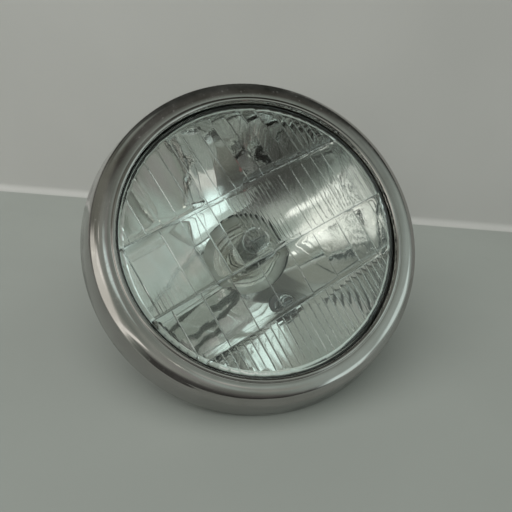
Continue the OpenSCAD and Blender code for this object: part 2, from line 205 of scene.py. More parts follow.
def piece(
    name: str, points: Iterable[Iterable[float]], faces: Faces, crease: float = LATHE_CREASE
) -> Made:
    """Makes a smooth-shaded object from points in millimetres.

    Args:
        name: the piece's name.
        points: its vertices, in millimetres.
        faces: its faces, as lists of vertex numbers.
        crease: edges that turn by more than this, in degrees, stay sharp.

    Returns:
        The new object.
    """
    mesh = bpy.data.meshes.new(name)
    mesh.from_pydata([[c * MM for c in p] for p in points], [], faces)
    work = bmesh.new()
    work.from_mesh(mesh)
    bmesh.ops.remove_doubles(work, verts=work.verts, dist=MERGE_M)
    bmesh.ops.dissolve_degenerate(work, edges=work.edges, dist=MERGE_M)
    bmesh.ops.recalc_face_normals(work, faces=work.faces)
    work.to_mesh(mesh)
    work.free()
    mesh.shade_smooth()
    mesh.set_sharp_from_angle(angle=math.radians(crease))
    return placed(name, mesh)


def lathe(
    name: str,
    outline: Outline,
    segments: int = 160,
    span: tuple[float, float] | None = None,
    at: tuple[float, float] = (0, 0),
    swell: Callable[[float, float, float], float] | None = None,
    crease: float = LATHE_CREASE,
) -> Made:
    """Turns a closed outline about an axis that runs along Y.

    Args:
        name: the piece's name.
        outline: closed outline; points on the axis have radius 0.
        segments: how many pieces the turn has.
        span: first and last clock angle in degrees, or None for a full turn.
        at: the axis's x and z.
        swell: gives the radius at (radius, distance, angle in radians), for ribs and knurls.
        crease: edges that turn by more than this, in degrees, stay sharp.

    Returns:
        The turned piece.
    """
    columns = segments + 1 if span else segments
    start, end = (math.radians(a) for a in (span or (0, 360)))
    angles = [start + (end - start) * j / segments for j in range(columns)]
    points = []
    rows = []
    for r, y in outline:
        if r < ON_AXIS:
            rows.append([len(points)] * columns)
            points.append((at[0], y, at[1]))
            continue
        rows.append(list(range(len(points), len(points) + columns)))
        for a in angles:
            grown = swell(r, y, a) if swell else r
            points.append((at[0] + grown * math.cos(a), y, at[1] - grown * math.sin(a)))
    faces = []
    for row, following in zip(rows, rows[1:] + rows[:1]):
        for j in range(segments):
            k = (j + 1) % columns
            corners = dict.fromkeys((row[j], row[k], following[k], following[j]))
            if len(corners) > 2:
                faces.append(tuple(corners))
    if span:
        faces.append(tuple(dict.fromkeys(row[0] for row in rows)))
        faces.append(tuple(dict.fromkeys(row[-1] for row in reversed(rows))))
    return piece(name, points, faces, crease)


def wound(rows: int, sides: int) -> Faces:
    """Returns the faces of a closed rod whose points lie in rings.

    Args:
        rows: how many lengths it has between rings.
        sides: how many points a ring has.

    Returns:
        The faces, with those at both ends last.
    """
    faces = []
    for i in range(rows):
        for k in range(sides):
            j = (k + 1) % sides
            faces.append((i * sides + k, i * sides + j, (i + 1) * sides + j, (i + 1) * sides + k))
    return [*faces, tuple(range(sides)), tuple(range(rows * sides, (rows + 1) * sides))]


def tube(name: str, path: list[Vector], radius: float, sides: int = 10) -> Made:
    """Sweeps a circle along a path.

    Args:
        name: the piece's name.
        path: the middle line, in millimetres.
        radius: the wire's radius.
        sides: how many sides the wire has.

    Returns:
        The wire.
    """
    points = []
    across = None
    for i, p in enumerate(path):
        along = (path[min(i + 1, len(path) - 1)] - path[max(i - 1, 0)]).normalized()
        if across is None:
            across = along.orthogonal().normalized()
        across = (across - along * across.dot(along)).normalized()
        up = along.cross(across)
        for k in range(sides):
            a = 2 * math.pi * k / sides
            points.append(p + radius * (across * math.cos(a) + up * math.sin(a)))
    return piece(name, points, wound(len(path) - 1, sides), WIRE_CREASE)


def helix(
    start: Vector, end: Vector, across: Vector, radius: float, turns: float, steps: int
) -> list[Vector]:
    """Returns the middle line of a coil that winds from an across direction towards +Z.

    Args:
        start: where its axis starts, in millimetres.
        end: where its axis ends.
        across: the direction in which the winding starts.
        radius: the coil's radius.
        turns: how often it winds.
        steps: how many pieces a turn has.

    Returns:
        The line's points.
    """
    count = round(turns * steps)
    path = []
    for i in range(count + 1):
        a = 2 * math.pi * i / steps
        winding = across * math.cos(a) + Vector((0, 0, 1)) * math.sin(a)
        path.append(start + (end - start) * (i / count) + winding * radius)
    return path


def slab(name: str, low: Iterable[float], high: Iterable[float], bevel: float = 0.2) -> Made:
    """A plate between two corners, with rounded edges.

    Args:
        name: the piece's name.
        low: lowest corner, in millimetres.
        high: highest corner, in millimetres.
        bevel: how far the edges are rounded.

    Returns:
        The plate.
    """
    a, b = Vector(low), Vector(high)
    spread = Matrix.Translation((a + b) / 2) @ Matrix.Diagonal((*(b - a), 1))
    work = bmesh.new()
    bmesh.ops.create_cube(work, size=1, matrix=spread)
    bmesh.ops.bevel(work, geom=work.edges[:], offset=bevel, segments=3, affect="EDGES", profile=0.5)
    points = [v.co.copy() for v in work.verts]
    faces = [tuple(v.index for v in f.verts) for f in work.faces]
    work.free()
    return piece(name, points, faces, PLATE_CREASE)


def joined(name: str, parts: list[Made]) -> Made:
    """Puts several pieces' meshes into one object.

    Args:
        name: the new piece's name.
        parts: what goes into it; they are removed.

    Returns:
        The new object.
    """
    mesh = bpy.data.meshes.new(name)
    work = bmesh.new()
    for part in parts:
        work.from_mesh(part.data)
        bpy.data.objects.remove(part)
    work.to_mesh(mesh)
    work.free()
    return placed(name, mesh)


def carved(target: Made, tool: Made) -> Made:
    """Cuts one piece with another, and removes the tool.

    Args:
        target: the piece that is cut.
        tool: what cuts it.

    Returns:
        The target.
    """
    modifier = target.modifiers.new("carve", "BOOLEAN")
    modifier.object = tool
    modifier.operation = "DIFFERENCE"
    modifier.solver = "EXACT"
    bpy.context.view_layer.update()
    result = bpy.data.meshes.new_from_object(target.evaluated_get(bpy.context.evaluated_depsgraph_get()))
    target.modifiers.clear()
    target.data = result
    bpy.data.objects.remove(tool)
    return target


def resmoothed(made: Made) -> Made:
    """Shades a carved rubber piece smooth again, with its sharp edges.

    Args:
        made: the piece.

    Returns:
        The piece.
    """
    made.data.shade_smooth()
    made.data.set_sharp_from_angle(angle=math.radians(RUBBER_CREASE))
    return made


def turned_to(made: Made, degrees: float) -> Made:
    """Moves what was made at the viewer's right to a clock angle, and returns it."""
    made.data.transform(Matrix.Rotation(math.radians(degrees), 4, "Y"))
    return made


def dressed(made: Made, finish: Material, body: Body, replaces: Iterable[str] = ()) -> Made:
    """Gives a piece its finish and the body it rides on, and reports it.

    Args:
        made: the piece.
        finish: its material.
        body: what it moves with.
        replaces: the CAD nodes that it stands for.

    Returns:
        The piece.
    """
    if not made.data.materials:
        made.data.materials.append(finish)
    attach(made, body.value)
    if replaces:
        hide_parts(*replaces)
    log.info("%s: %d faces, on %s", made.name, len(made.data.polygons), body.value)
    return made


def refinished(node: str, finish: Material) -> None:
    """Gives a CAD node that stays in view its finish, and reports it.

    Args:
        node: the node's name.
        finish: its material.
    """
    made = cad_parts[node]
    made.data.materials.clear()
    made.data.materials.append(finish)
    log.info("%s: CAD node refinished", node)


# Shader wiring

# Where the values of a noise or cell texture start and end to count, and how far a surface turns to be
# worn or dusty, as the cosine of the angle.
CLOUD_SPAN = (0.3, 0.7)
PATCH_SPAN = (0.5, 0.62)
GRIT_SPAN = (0.35, 0.6)
FILM_SPAN = (0.42, 0.75)
SPECK_EDGE = (0.05, 0.16)
WORN_TURN = (0.99, 0.8)
SETTLING_TURN = (-0.4, 0.9)
PANEL_BEHIND = 0.02


class Wiring:
    """Adds nodes to one node tree and feeds their sockets."""

    def __init__(self, tree: bpy.types.NodeTree) -> None:
        """Keeps the tree and clears it."""
        self.tree = tree
        tree.nodes.clear()

    def feed(self, socket: Socket, value: object) -> None:
        """Links a socket to another, or sets its constant.

        Args:
            socket: the input.
            value: an output socket, a number, a colour or a vector.
        """
        if isinstance(value, Socket):
            self.tree.links.new(value, socket)
        elif socket.type == "RGBA" and len(value) == 3:
            socket.default_value = (*value, 1)
        else:
            socket.default_value = value

    def add(
        self, kind: str, feeds: dict[str | int, object] | None = None, **settings: object
    ) -> bpy.types.Node:
        """Adds a node.

        Args:
            kind: Blender's name for the node.
            feeds: what goes into its inputs, by name or number.
            **settings: the node's own properties.

        Returns:
            The node.
        """
        node = self.tree.nodes.new(kind)
        for key, value in settings.items():
            setattr(node, key, value)
        for key, value in (feeds or {}).items():
            self.feed(node.inputs[key], value)
        return node

    def calc(self, operation: str, a: object, b: object = 0.0, clamp: bool = False) -> Socket:
        """Returns the result of a Math node."""
        return self.add("ShaderNodeMath", {0: a, 1: b}, operation=operation, use_clamp=clamp).outputs[0]

    def dot(self, a: object, b: object) -> Socket:
        """Returns the dot product of two vectors."""
        return self.add("ShaderNodeVectorMath", {0: a, 1: b}, operation="DOT_PRODUCT").outputs["Value"]

    def mix(self, share: object, a: object, b: object) -> Socket:
        """Returns a colour between a and b."""
        return self.add("ShaderNodeMix", {0: share, 6: a, 7: b}, data_type="RGBA").outputs[2]

    def remap(
        self, value: object, low: float, high: float, to_low: object = 0.0, to_high: object = 1.0
    ) -> Socket:
        """Returns a value carried from one range to another, and kept inside it."""
        feeds = {"Value": value, "From Min": low, "From Max": high, "To Min": to_low, "To Max": to_high}
        return self.add("ShaderNodeMapRange", feeds).outputs["Result"]

    def noise(self, scale: object, detail: object, **more: object) -> bpy.types.Node:
        """Adds a noise texture that is fixed to the part, and returns its node."""
        feeds = {"Vector": self.place(), "Scale": scale, "Detail": detail}
        return self.add("ShaderNodeTexNoise", feeds | {key.title(): value for key, value in more.items()})

    def vector(self, operation: str, a: object, b: object) -> Socket:
        """Returns the vector that a Vector Math node gives."""
        return self.add("ShaderNodeVectorMath", {0: a, 1: b}, operation=operation).outputs[0]

    def clouds(self, scale: float, detail: float, low: object = 0.0, high: object = 1.0) -> Socket:
        """Returns the shared cloudy variation between two values."""
        return self.effect(Effect.MOTTLE, Scale=scale, Detail=detail, Low=low, High=high).outputs[0]

    def bump(self, height: object, distance: float) -> Socket:
        """Returns the surface normal that a height gives, with its unit in metres."""
        return self.add("ShaderNodeBump", {"Distance": distance, "Height": height}).outputs[0]

    def finish(self, surface: object, **volume: object) -> None:
        """Closes a material's tree with its output."""
        self.add("ShaderNodeOutputMaterial", {"Surface": surface} | {k.title(): v for k, v in volume.items()})

    def place(self) -> Socket:
        """Returns the point's own place in the part."""
        return self.add("ShaderNodeTexCoord").outputs["Object"]

    def effect(self, kind: Effect, **values: object) -> bpy.types.Node:
        """Places a shared effect.

        Args:
            kind: which effect.
            **values: its inputs, with _ for a space.

        Returns:
            The group node.
        """
        node = self.tree.nodes.new("ShaderNodeGroup")
        node.node_tree = shared_effect(kind)
        for key, value in values.items():
            self.feed(node.inputs[key.replace("_", " ")], value)
        return node


class Effect(Enum):
    """Effects that several finishes share."""

    MOTTLE = "mottle"
    SCUFFS = "scuffs"
    EDGE_WEAR = "edge_wear"
    DUST = "dust"
    PANEL = "panel"


EFFECT_SOCKETS = {
    Effect.MOTTLE: ({"Scale": 100.0, "Detail": 4.0, "Low": 0.0, "High": 1.0}, {"Value": "Float"}),
    Effect.SCUFFS: ({"Scale": 120.0, "Width": 0.02, "Amount": 0.5}, {"Mask": "Float"}),
    Effect.EDGE_WEAR: ({"Width": 0.0006, "Scale": 700.0, "Amount": 1.0}, {"Mask": "Float"}),
    Effect.DUST: ({"Scale": 260.0, "Amount": 0.5}, {"Mask": "Float"}),
    Effect.PANEL: (
        {"Direction": (0, 0, 1), "Centre": (0, 0, 1), "Across": (1, 0, 0), "Upward": (0, 1, 0)}
        | {"Half Width": 0.3, "Half Height": 0.3, "Softness": 0.1},
        {"Mask": "Float"},
    ),
}


def shared_effect(kind: Effect) -> bpy.types.NodeTree:
    """Builds an effect's node group at its first use, and finds it after that.

    Args:
        kind: which effect.

    Returns:
        The group.
    """
    made = bpy.data.node_groups.get(kind.value)
    if made:
        return made
    tree = bpy.data.node_groups.new(kind.value, "ShaderNodeTree")
    inputs, outputs = EFFECT_SOCKETS[kind]
    for name, default in inputs.items():
        socket_type = "NodeSocketVector" if isinstance(default, tuple) else "NodeSocketFloat"
        tree.interface.new_socket(name=name, in_out="INPUT", socket_type=socket_type).default_value = default
    for name, form in outputs.items():
        tree.interface.new_socket(name=name, in_out="OUTPUT", socket_type="NodeSocket" + form)
    wiring = Wiring(tree)
    given = wiring.add("NodeGroupInput").outputs
    result = EFFECT_BUILDERS[kind](wiring, given)
    wiring.add("NodeGroupOutput", {0: result})
    return tree


def build_mottle(wiring: Wiring, given: Sockets) -> Socket:
    """Cloudy variation between Low and High, and returns its value."""
    noise = wiring.noise(given["Scale"], given["Detail"])
    return wiring.remap(noise.outputs[0], *CLOUD_SPAN, given["Low"], given["High"])


def build_scuffs(wiring: Wiring, given: Sockets) -> Socket:
    """Fine wandering scratches.

    Args:
        wiring: the group's own wiring.
        given: the group's inputs.

    Returns:
        Their mask.
    """
    bend = wiring.noise(35.0, 2.0)
    bent = wiring.vector("MULTIPLY", bend.outputs["Color"], (0.03, 0.03, 0.03))
    moved = wiring.vector("ADD", wiring.place(), bent)
    stretched = wiring.add("ShaderNodeMapping", {"Vector": moved, "Scale": (0.25, 1.0, 1.4)})
    feeds = {"Vector": stretched.outputs[0], "Scale": given["Scale"]}
    cells = wiring.add("ShaderNodeTexVoronoi", feeds, feature="DISTANCE_TO_EDGE")
    line = wiring.calc("LESS_THAN", cells.outputs["Distance"], given["Width"])
    broken = wiring.remap(wiring.noise(90.0, 3.0).outputs[0], *PATCH_SPAN, 0.0, given["Amount"])
    return wiring.calc("MULTIPLY", line, broken)


def build_edge_wear(wiring: Wiring, given: Sockets) -> Socket:
    """Rubbed edges, found where rounding the edge would turn the surface.

    Args:
        wiring: the group's own wiring.
        given: the group's inputs.

    Returns:
        Their mask.
    """
    rounded = wiring.add("ShaderNodeBevel", {"Radius": given["Width"]}, samples=4)
    plain = wiring.add("ShaderNodeNewGeometry")
    turn = wiring.dot(rounded.outputs[0], plain.outputs["Normal"])
    edge = wiring.remap(turn, *WORN_TURN)
    grit = wiring.noise(given["Scale"], 5.0)
    broken = wiring.remap(grit.outputs[0], *GRIT_SPAN, 0.0, given["Amount"])
    return wiring.calc("MULTIPLY", edge, broken)


def build_dust(wiring: Wiring, given: Sockets) -> Socket:
    """Specks and a thin film, thicker on what faces up from the table.

    Args:
        wiring: the group's own wiring.
        given: the group's inputs.

    Returns:
        Their mask.
    """
    film = wiring.noise(28.0, 6.0, roughness=0.65)
    feeds = {"Vector": wiring.place(), "Scale": given["Scale"], "Randomness": 1.0}
    specks = wiring.add("ShaderNodeTexVoronoi", feeds)
    dots = wiring.remap(specks.outputs["Distance"], *SPECK_EDGE, 0.6, 0.0)
    cloud = wiring.remap(film.outputs[0], *FILM_SPAN, 0.03, 0.45)
    facing = wiring.dot(wiring.add("ShaderNodeNewGeometry").outputs["Normal"], tuple(Table.UP))
    settled = wiring.remap(facing, *SETTLING_TURN, 0.25, 1.0)
    both = wiring.calc("MULTIPLY", wiring.calc("ADD", dots, cloud), settled)
    return wiring.calc("MULTIPLY", both, given["Amount"], clamp=True)


def build_panel(wiring: Wiring, given: Sockets) -> Socket:
    """A soft-edged panel far away, seen in one direction.

    Args:
        wiring: the group's own wiring.
        given: the group's inputs.

    Returns:
        Its mask.
    """
    ahead = wiring.dot(given["Direction"], given["Centre"])
    sides = []
    for axis, half in (("Across", "Half Width"), ("Upward", "Half Height")):
        part = wiring.calc("DIVIDE", wiring.dot(given["Direction"], given[axis]), ahead)
        inside = wiring.calc("SUBTRACT", given[half], wiring.calc("ABSOLUTE", part))
        eased = wiring.calc("DIVIDE", inside, given["Softness"])
        sides.append(wiring.calc("ADD", eased, 0.5, clamp=True))
    front = wiring.calc("GREATER_THAN", ahead, PANEL_BEHIND)
    return wiring.calc("MULTIPLY", wiring.calc("MULTIPLY", *sides), front)


EFFECT_BUILDERS = {
    Effect.MOTTLE: build_mottle,
    Effect.SCUFFS: build_scuffs,
    Effect.EDGE_WEAR: build_edge_wear,
    Effect.DUST: build_dust,
    Effect.PANEL: build_panel,
}


# Finishes

# How high a height of 1 stands out from a polished and from a moulded surface.
FINE_BUMP_M = 0.00001
COARSE_BUMP_M = 0.00002


def new_material(name: str) -> tuple[Material, Wiring]:
    """Makes an empty material.

    Args:
        name: the material's name.

    Returns:
        The material and its wiring.
    """
    made = bpy.data.materials.new(name)
    made.use_nodes = True
    return made, Wiring(made.node_tree)


@dataclass(frozen=True)
class MetalFinish:
    """A metal surface with clouded gloss, fine scratches, rubbed edges and a little dust."""

    name: str
    colour: Colour
    stain: Colour
    roughness: tuple[float, float] = (0.1, 0.2)
    cloud_scale: float = 60.0
    ripple: float = 0.0
    ripple_scale: float = 55.0
    grain: float = 0.0
    grain_scale: float = 900.0
    scuffs: float = 0.3
    wear: Colour | None = None
    dust: float = 0.3
    dust_colour: Colour = (0.36, 0.34, 0.31)

    def material(self) -> Material:
        """Builds the metal's node tree.

        Returns:
            The material.
        """
        made, w = new_material(self.name)
        cloud = w.clouds(self.cloud_scale, 5.0)
        scuffs = w.effect(Effect.SCUFFS, Amount=self.scuffs).outputs[0]
        dust = w.effect(Effect.DUST, Amount=self.dust).outputs[0]
        colour = w.mix(cloud, self.colour, self.stain)
        if self.wear:
            colour = w.mix(w.effect(Effect.EDGE_WEAR).outputs[0], colour, self.wear)
        colour = w.mix(dust, colour, self.dust_colour)
        gloss = w.remap(cloud, 0.0, 1.0, *self.roughness)
        gloss = w.calc("ADD", gloss, w.calc("MULTIPLY", scuffs, 0.25))
        gloss = w.calc("ADD", gloss, w.calc("MULTIPLY", dust, 0.5), clamp=True)
        height = w.calc("MULTIPLY", scuffs, -0.4)
        if self.ripple:
            height = w.calc("ADD", height, w.clouds(self.ripple_scale, 1.0, high=self.ripple))
        if self.grain:
            height = w.calc("ADD", height, w.clouds(self.grain_scale, 3.0, high=self.grain))
        shader = w.add(
            "ShaderNodeBsdfPrincipled",
            {
                "Base Color": colour,
                "Metallic": w.remap(dust, 0.0, 1.0, 1.0, 0.2),
                "Roughness": gloss,
                "Normal": w.bump(height, FINE_BUMP_M),
            },
        )
        w.finish(shader.outputs[0])
        return made


@dataclass(frozen=True)
class CoatedFinish:
    """Paint, rubber, plastic or ceramic: a body colour with grain, scuffs, rubbed edges and dust."""

    name: str
    colour: Colour
    shade: Colour
    roughness: tuple[float, float] = (0.5, 0.7)
    cloud_scale: float = 120.0
    grain: float = 2.0
    grain_scale: float = 1400.0
    rubbed: Colour | None = None
    dust: float = 0.5
    dust_colour: Colour = (0.42, 0.4, 0.36)

    def material(self) -> Material:
        """Builds the coating's node tree.

        Returns:
            The material.
        """
        made, w = new_material(self.name)
        cloud = w.clouds(self.cloud_scale, 6.0)
        scuffs = w.effect(Effect.SCUFFS, Amount=0.5).outputs[0]
        dust = w.effect(Effect.DUST, Amount=self.dust).outputs[0]
        grain = w.clouds(self.grain_scale, 3.0, high=self.grain)
        colour = w.mix(cloud, self.colour, self.shade)
        if self.rubbed:
            colour = w.mix(w.effect(Effect.EDGE_WEAR).outputs[0], colour, self.rubbed)
        colour = w.mix(dust, colour, self.dust_colour)
        gloss = w.remap(cloud, 0.0, 1.0, *self.roughness)
        gloss = w.calc("ADD", gloss, w.calc("MULTIPLY", dust, 0.3), clamp=True)
        normal = w.bump(w.calc("SUBTRACT", grain, scuffs), COARSE_BUMP_M)
        feeds = {"Base Color": colour, "Roughness": gloss, "Normal": normal}
        w.finish(w.add("ShaderNodeBsdfPrincipled", feeds).outputs[0])
        return made


@dataclass(frozen=True)
class GlassFinish:
    """Clear glass with a faint uneven surface; light passes it on the way to what lies behind."""

    name: str
    tint: Colour
    absorbed: Colour
    density: float
    waves: float
    haze: float = 0.0

    def material(self) -> Material:
        """Builds the glass's node tree.

        Returns:
            The material.
        """
        made, w = new_material(self.name)
        waves = w.clouds(70.0, 2.0, high=self.waves)
        seeds = w.clouds(420.0, 2.0, high=self.waves * 0.3)
        gloss = w.clouds(45.0, 5.0, high=self.haze)
        glass = w.add(
            "ShaderNodeBsdfPrincipled",
            {
                "Base Color": self.tint,
                "Roughness": gloss,
                "IOR": 1.52,
                "Transmission Weight": 1.0,
                "Normal": w.bump(w.calc("ADD", waves, seeds), FINE_BUMP_M),
            },
        )
        clear = w.add("ShaderNodeBsdfTransparent", {"Color": self.tint})
        shadow = w.add("ShaderNodeLightPath").outputs["Is Shadow Ray"]
        both = w.add("ShaderNodeMixShader", {0: shadow, 1: glass.outputs[0], 2: clear.outputs[0]})
        depth = w.add("ShaderNodeVolumeAbsorption", {"Color": self.absorbed, "Density": self.density})
        w.finish(both.outputs[0], volume=depth.outputs[0])
        return made


class Finishes:
    """The object's finishes, each built once."""

    def __init__(self) -> None:
        """Builds every material."""
        self.chrome = MetalFinish(
            name="polished_chrome",
            colour=(0.42, 0.402, 0.39),
            stain=(0.36, 0.345, 0.33),
            roughness=(0.035, 0.1),
            ripple=9.0,
            scuffs=0.35,
            dust=0.35,
        ).material()
        self.zinc = MetalFinish(
            name="zinc_plate",
            colour=(0.56, 0.56, 0.53),
            stain=(0.42, 0.41, 0.36),
            roughness=(0.3, 0.5),
            cloud_scale=140.0,
            grain=2.5,
            wear=(0.7, 0.69, 0.66),
        ).material()
        self.spring_steel = MetalFinish(
            name="sprung_steel",
            colour=(0.42, 0.42, 0.43),
            stain=(0.26, 0.25, 0.24),
            roughness=(0.25, 0.45),
            cloud_scale=200.0,
            grain=2.0,
        ).material()
        self.nickel = MetalFinish(
            name="nickel_plate",
            colour=(0.66, 0.65, 0.61),
            stain=(0.55, 0.53, 0.48),
            roughness=(0.14, 0.3),
            cloud_scale=150.0,
            grain=0.6,
            dust=0.15,
        ).material()
        self.brass = MetalFinish(
            name="raw_brass",
            colour=(0.72, 0.54, 0.28),
            stain=(0.5, 0.36, 0.19),
            roughness=(0.25, 0.45),
            cloud_scale=180.0,
            grain=1.5,
            wear=(0.85, 0.68, 0.4),
        ).material()
        self.tungsten = MetalFinish(
            name="coil_wire",
            colour=(0.42, 0.42, 0.44),
            stain=(0.3, 0.3, 0.33),
            roughness=(0.25, 0.4),
            cloud_scale=300.0,
            scuffs=0.0,
            dust=0.0,
        ).material()
        self.mirror = MetalFinish(
            name="mirror_coat",
            colour=(0.8, 0.8, 0.785),
            stain=(0.74, 0.74, 0.715),
            roughness=(0.012, 0.05),
            cloud_scale=40.0,
            ripple=4.5,
            scuffs=0.06,
            dust=0.03,
        ).material()
        self.shell_back = MetalFinish(
            name="shell_back",
            colour=(0.5, 0.5, 0.48),
            stain=(0.38, 0.37, 0.33),
            roughness=(0.35, 0.55),
            cloud_scale=70.0,
            grain=3.0,
            dust=0.8,
        ).material()
        # Near-black, rough metal for the inside of the bulb's neck: painted shade, standing in for the shade
        # that falls in the neck.
        self.neck_wall_painted_shade = MetalFinish(
            name="neck_wall_painted_shade",
            colour=(0.04, 0.045, 0.042),
            stain=(0.025, 0.028, 0.026),
            roughness=(0.45, 0.6),
            cloud_scale=120.0,
            grain=1.0,
        ).material()
        # Much darker than the plain nickel, for the bulb's supports and shield, so that the middle of the
        # bulb reads dark.
        self.dark_nickel = MetalFinish(
            name="dark_nickel",
            colour=(0.13, 0.137, 0.125),
            stain=(0.075, 0.08, 0.07),
            roughness=(0.18, 0.35),
            cloud_scale=160.0,
            grain=0.6,
            dust=0.0,
        ).material()
        self.lens_glass = GlassFinish(
            name="lens_glass",
            tint=(0.985, 0.995, 0.99),
            absorbed=(0.5, 0.9, 0.78),
            density=7.0,
            waves=2.0,
            haze=0.01,
        ).material()
        self.bulb_glass = GlassFinish(
            name="thin_glass", tint=(0.99, 0.99, 0.985), absorbed=(0.8, 0.9, 0.9), density=5.0, waves=1.5
        ).material()
        self.rubber = CoatedFinish(
            name="moulded_rubber",
            colour=(0.022, 0.022, 0.023),
            shade=(0.04, 0.039, 0.038),
            roughness=(0.55, 0.75),
            rubbed=(0.09, 0.09, 0.088),
        ).material()
        self.sealant = CoatedFinish(
            name="sealing_bead",
            colour=(0.4, 0.42, 0.4),
            shade=(0.3, 0.315, 0.3),
            roughness=(0.5, 0.7),
            dust=0.2,
        ).material()
        self.nylon = CoatedFinish(
            name="washer_nylon",
            colour=(0.74, 0.72, 0.66),
            shade=(0.62, 0.59, 0.5),
            roughness=(0.35, 0.5),
            grain=1.0,
        ).material()
        self.resin = CoatedFinish(
            name="base_resin", colour=(0.7, 0.66, 0.56), shade=(0.58, 0.53, 0.43), roughness=(0.45, 0.6)
        ).material()


# Sub-assemblies


@dataclass
class Rim:
    """The chromed rim and what is fixed to it, with sizes in millimetres."""

    finishes: Finishes
    edge_r: float = field(default_factory=lambda: size_of("rim").x / 2)
    sheet_t: float = 0.9
    corner_r: float = 84.8
    corner_y: float = -15.2
    face_out: tuple[float, float] = (83.5, -16.9)
    bead_out: tuple[float, float] = (74.4, -19.3)
    bead_in: tuple[float, float] = (71.9, -18.8)
    bead_wall_y: float = -11.0
    corner_bulge: float = 0.18
    face_bulge: float = 0.9
    bead_bulge: float = 0.95
    face_step: tuple[float, float] = (0.9, 0.6)
    bead_step: tuple[float, float] = (0.3, 0.1)
    edge_rounding: float = 0.14
    spring_r: float = 2.9
    spring_wire_r: float = 0.35
    spring_turns: int = 5
    plated: tuple[str, ...] = (
        "top_hook",
        "fixing_tabs",
        "fixing_nuts",
        "pivot_bracket_upper",
        "pivot_bracket_lower",
        "adjuster_bracket",
    )

    def front_path(self) -> Outline:
        """Draws the rim's outer side.

        Returns:
            Its points, from the rear edge over the face to the bead's wall.
        """
        face_start = (self.face_out[0] - self.face_step[0], self.face_out[1] - self.face_step[1])
        bead_start = (self.bead_out[0] - self.bead_step[0], self.bead_out[1] - self.bead_step[1])
        return [
            (self.edge_r, 0.0),
            *arc((self.corner_r, self.corner_y), self.face_out, self.corner_bulge, 6),
            *arc(face_start, self.bead_out, self.face_bulge, 28),
            *arc(bead_start, self.bead_in, self.bead_bulge, 16),
            (self.bead_in[0], self.bead_wall_y),
        ]

    def shell(self) -> Made:
        """Builds the pressed rim and returns it."""
        outline = softened(thickened(self.front_path(), self.sheet_t), self.edge_rounding, 2)
        return lathe("rim_shell", outline, 288)

    def spring(self) -> Made:
        """Builds the aim screw's spring.

        Returns:
            The spring.
        """
        low, high = ends_of("adjuster_spring")
        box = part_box("adjuster_spring")
        axis_x = (box[0].x + box[1].x) / 2 / MM
        start = Vector((axis_x, low + self.spring_wire_r, 0))
        end = Vector((axis_x, high - self.spring_wire_r, 0))
        path = helix(start, end, Vector((1, 0, 0)), self.spring_r, self.spring_turns, 24)
        return tube("aim_spring", path, self.spring_wire_r)

    def build(self) -> None:
        """Builds and dresses everything that the rim carries."""
        dressed(self.shell(), self.finishes.chrome, Body.RIM, ["rim"])
        dressed(self.spring(), self.finishes.spring_steel, Body.RIM, ["adjuster_spring"])
        for node in self.plated:
            refinished(node, self.finishes.zinc)


@dataclass
class AimScrew:
    """The screw that tilts the lens unit, with sizes in millimetres."""

    finishes: Finishes
    at_x: float = 80.6
    root_r: float = 1.62
    crest_r: float = 2.0
    pitch: float = 0.8
    head_r: float = 3.6
    head_t: float = 3.0
    slot_w: float = 1.0
    slot_depth: float = 1.4
    plain_l: float = 1.6
    point_l: float = 0.5
    point_cut: float = 0.6
    slot_reach: float = 5.0
    rows_per_turn: int = 8
    sides: int = 24
    crease: float = 40

    def thread(self, start: float, end: float) -> Made:
        """Builds the threaded shank.

        Args:
            start: the screw's free end, along the axis.
            end: where the head starts.

        Returns:
            The shank.
        """
        rows = int((end - start) / self.pitch * self.rows_per_turn)
        sides = self.sides
        points = []
        for i in range(rows + 1):
            y = start + (end - start) * i / rows
            plain = y > end - self.plain_l
            for k in range(sides):
                turn = (y / self.pitch - k / sides) % 1
                depth = 0 if plain else abs(2 * turn - 1)
                r = self.crest_r + (self.root_r - self.crest_r) * depth
                r -= max(0.0, self.point_l - (y - start)) if i else self.point_cut
                a = 2 * math.pi * k / sides
                points.append((self.at_x + r * math.cos(a), y, r * math.sin(a)))
        return piece("aim_shank", points, wound(rows, sides), self.crease)

    def build(self) -> None:
        """Builds and dresses the screw and its clip."""
        start, end = ends_of("adjuster_screw")
        head_y = end - self.head_t
        outline = softened([(0, head_y), (self.head_r, head_y), (self.head_r, end), (0, end)], 0.5)
        head = lathe("aim_head", outline, 64, at=(self.at_x, 0))
        low = (self.at_x - self.slot_reach, end - self.slot_depth, -self.slot_w / 2)
        high = (self.at_x + self.slot_reach, end + 1, self.slot_w / 2)
        carved(head, slab("slot_tool", low, high, 0.05))
        screw = joined("aim_screw_threaded", [self.thread(start, head_y), head])
        dressed(screw, self.finishes.zinc, Body.AIM_SCREW, ["adjuster_screw"])
        refinished("adjuster_clip", self.finishes.spring_steel)


def evenly(low: float, high: float, pitch: float) -> tuple[float, ...]:
    """Returns places from low to high that lie about a pitch apart."""
    count = round((high - low) / pitch)
    return tuple(low + (high - low) * i / count for i in range(count + 1))


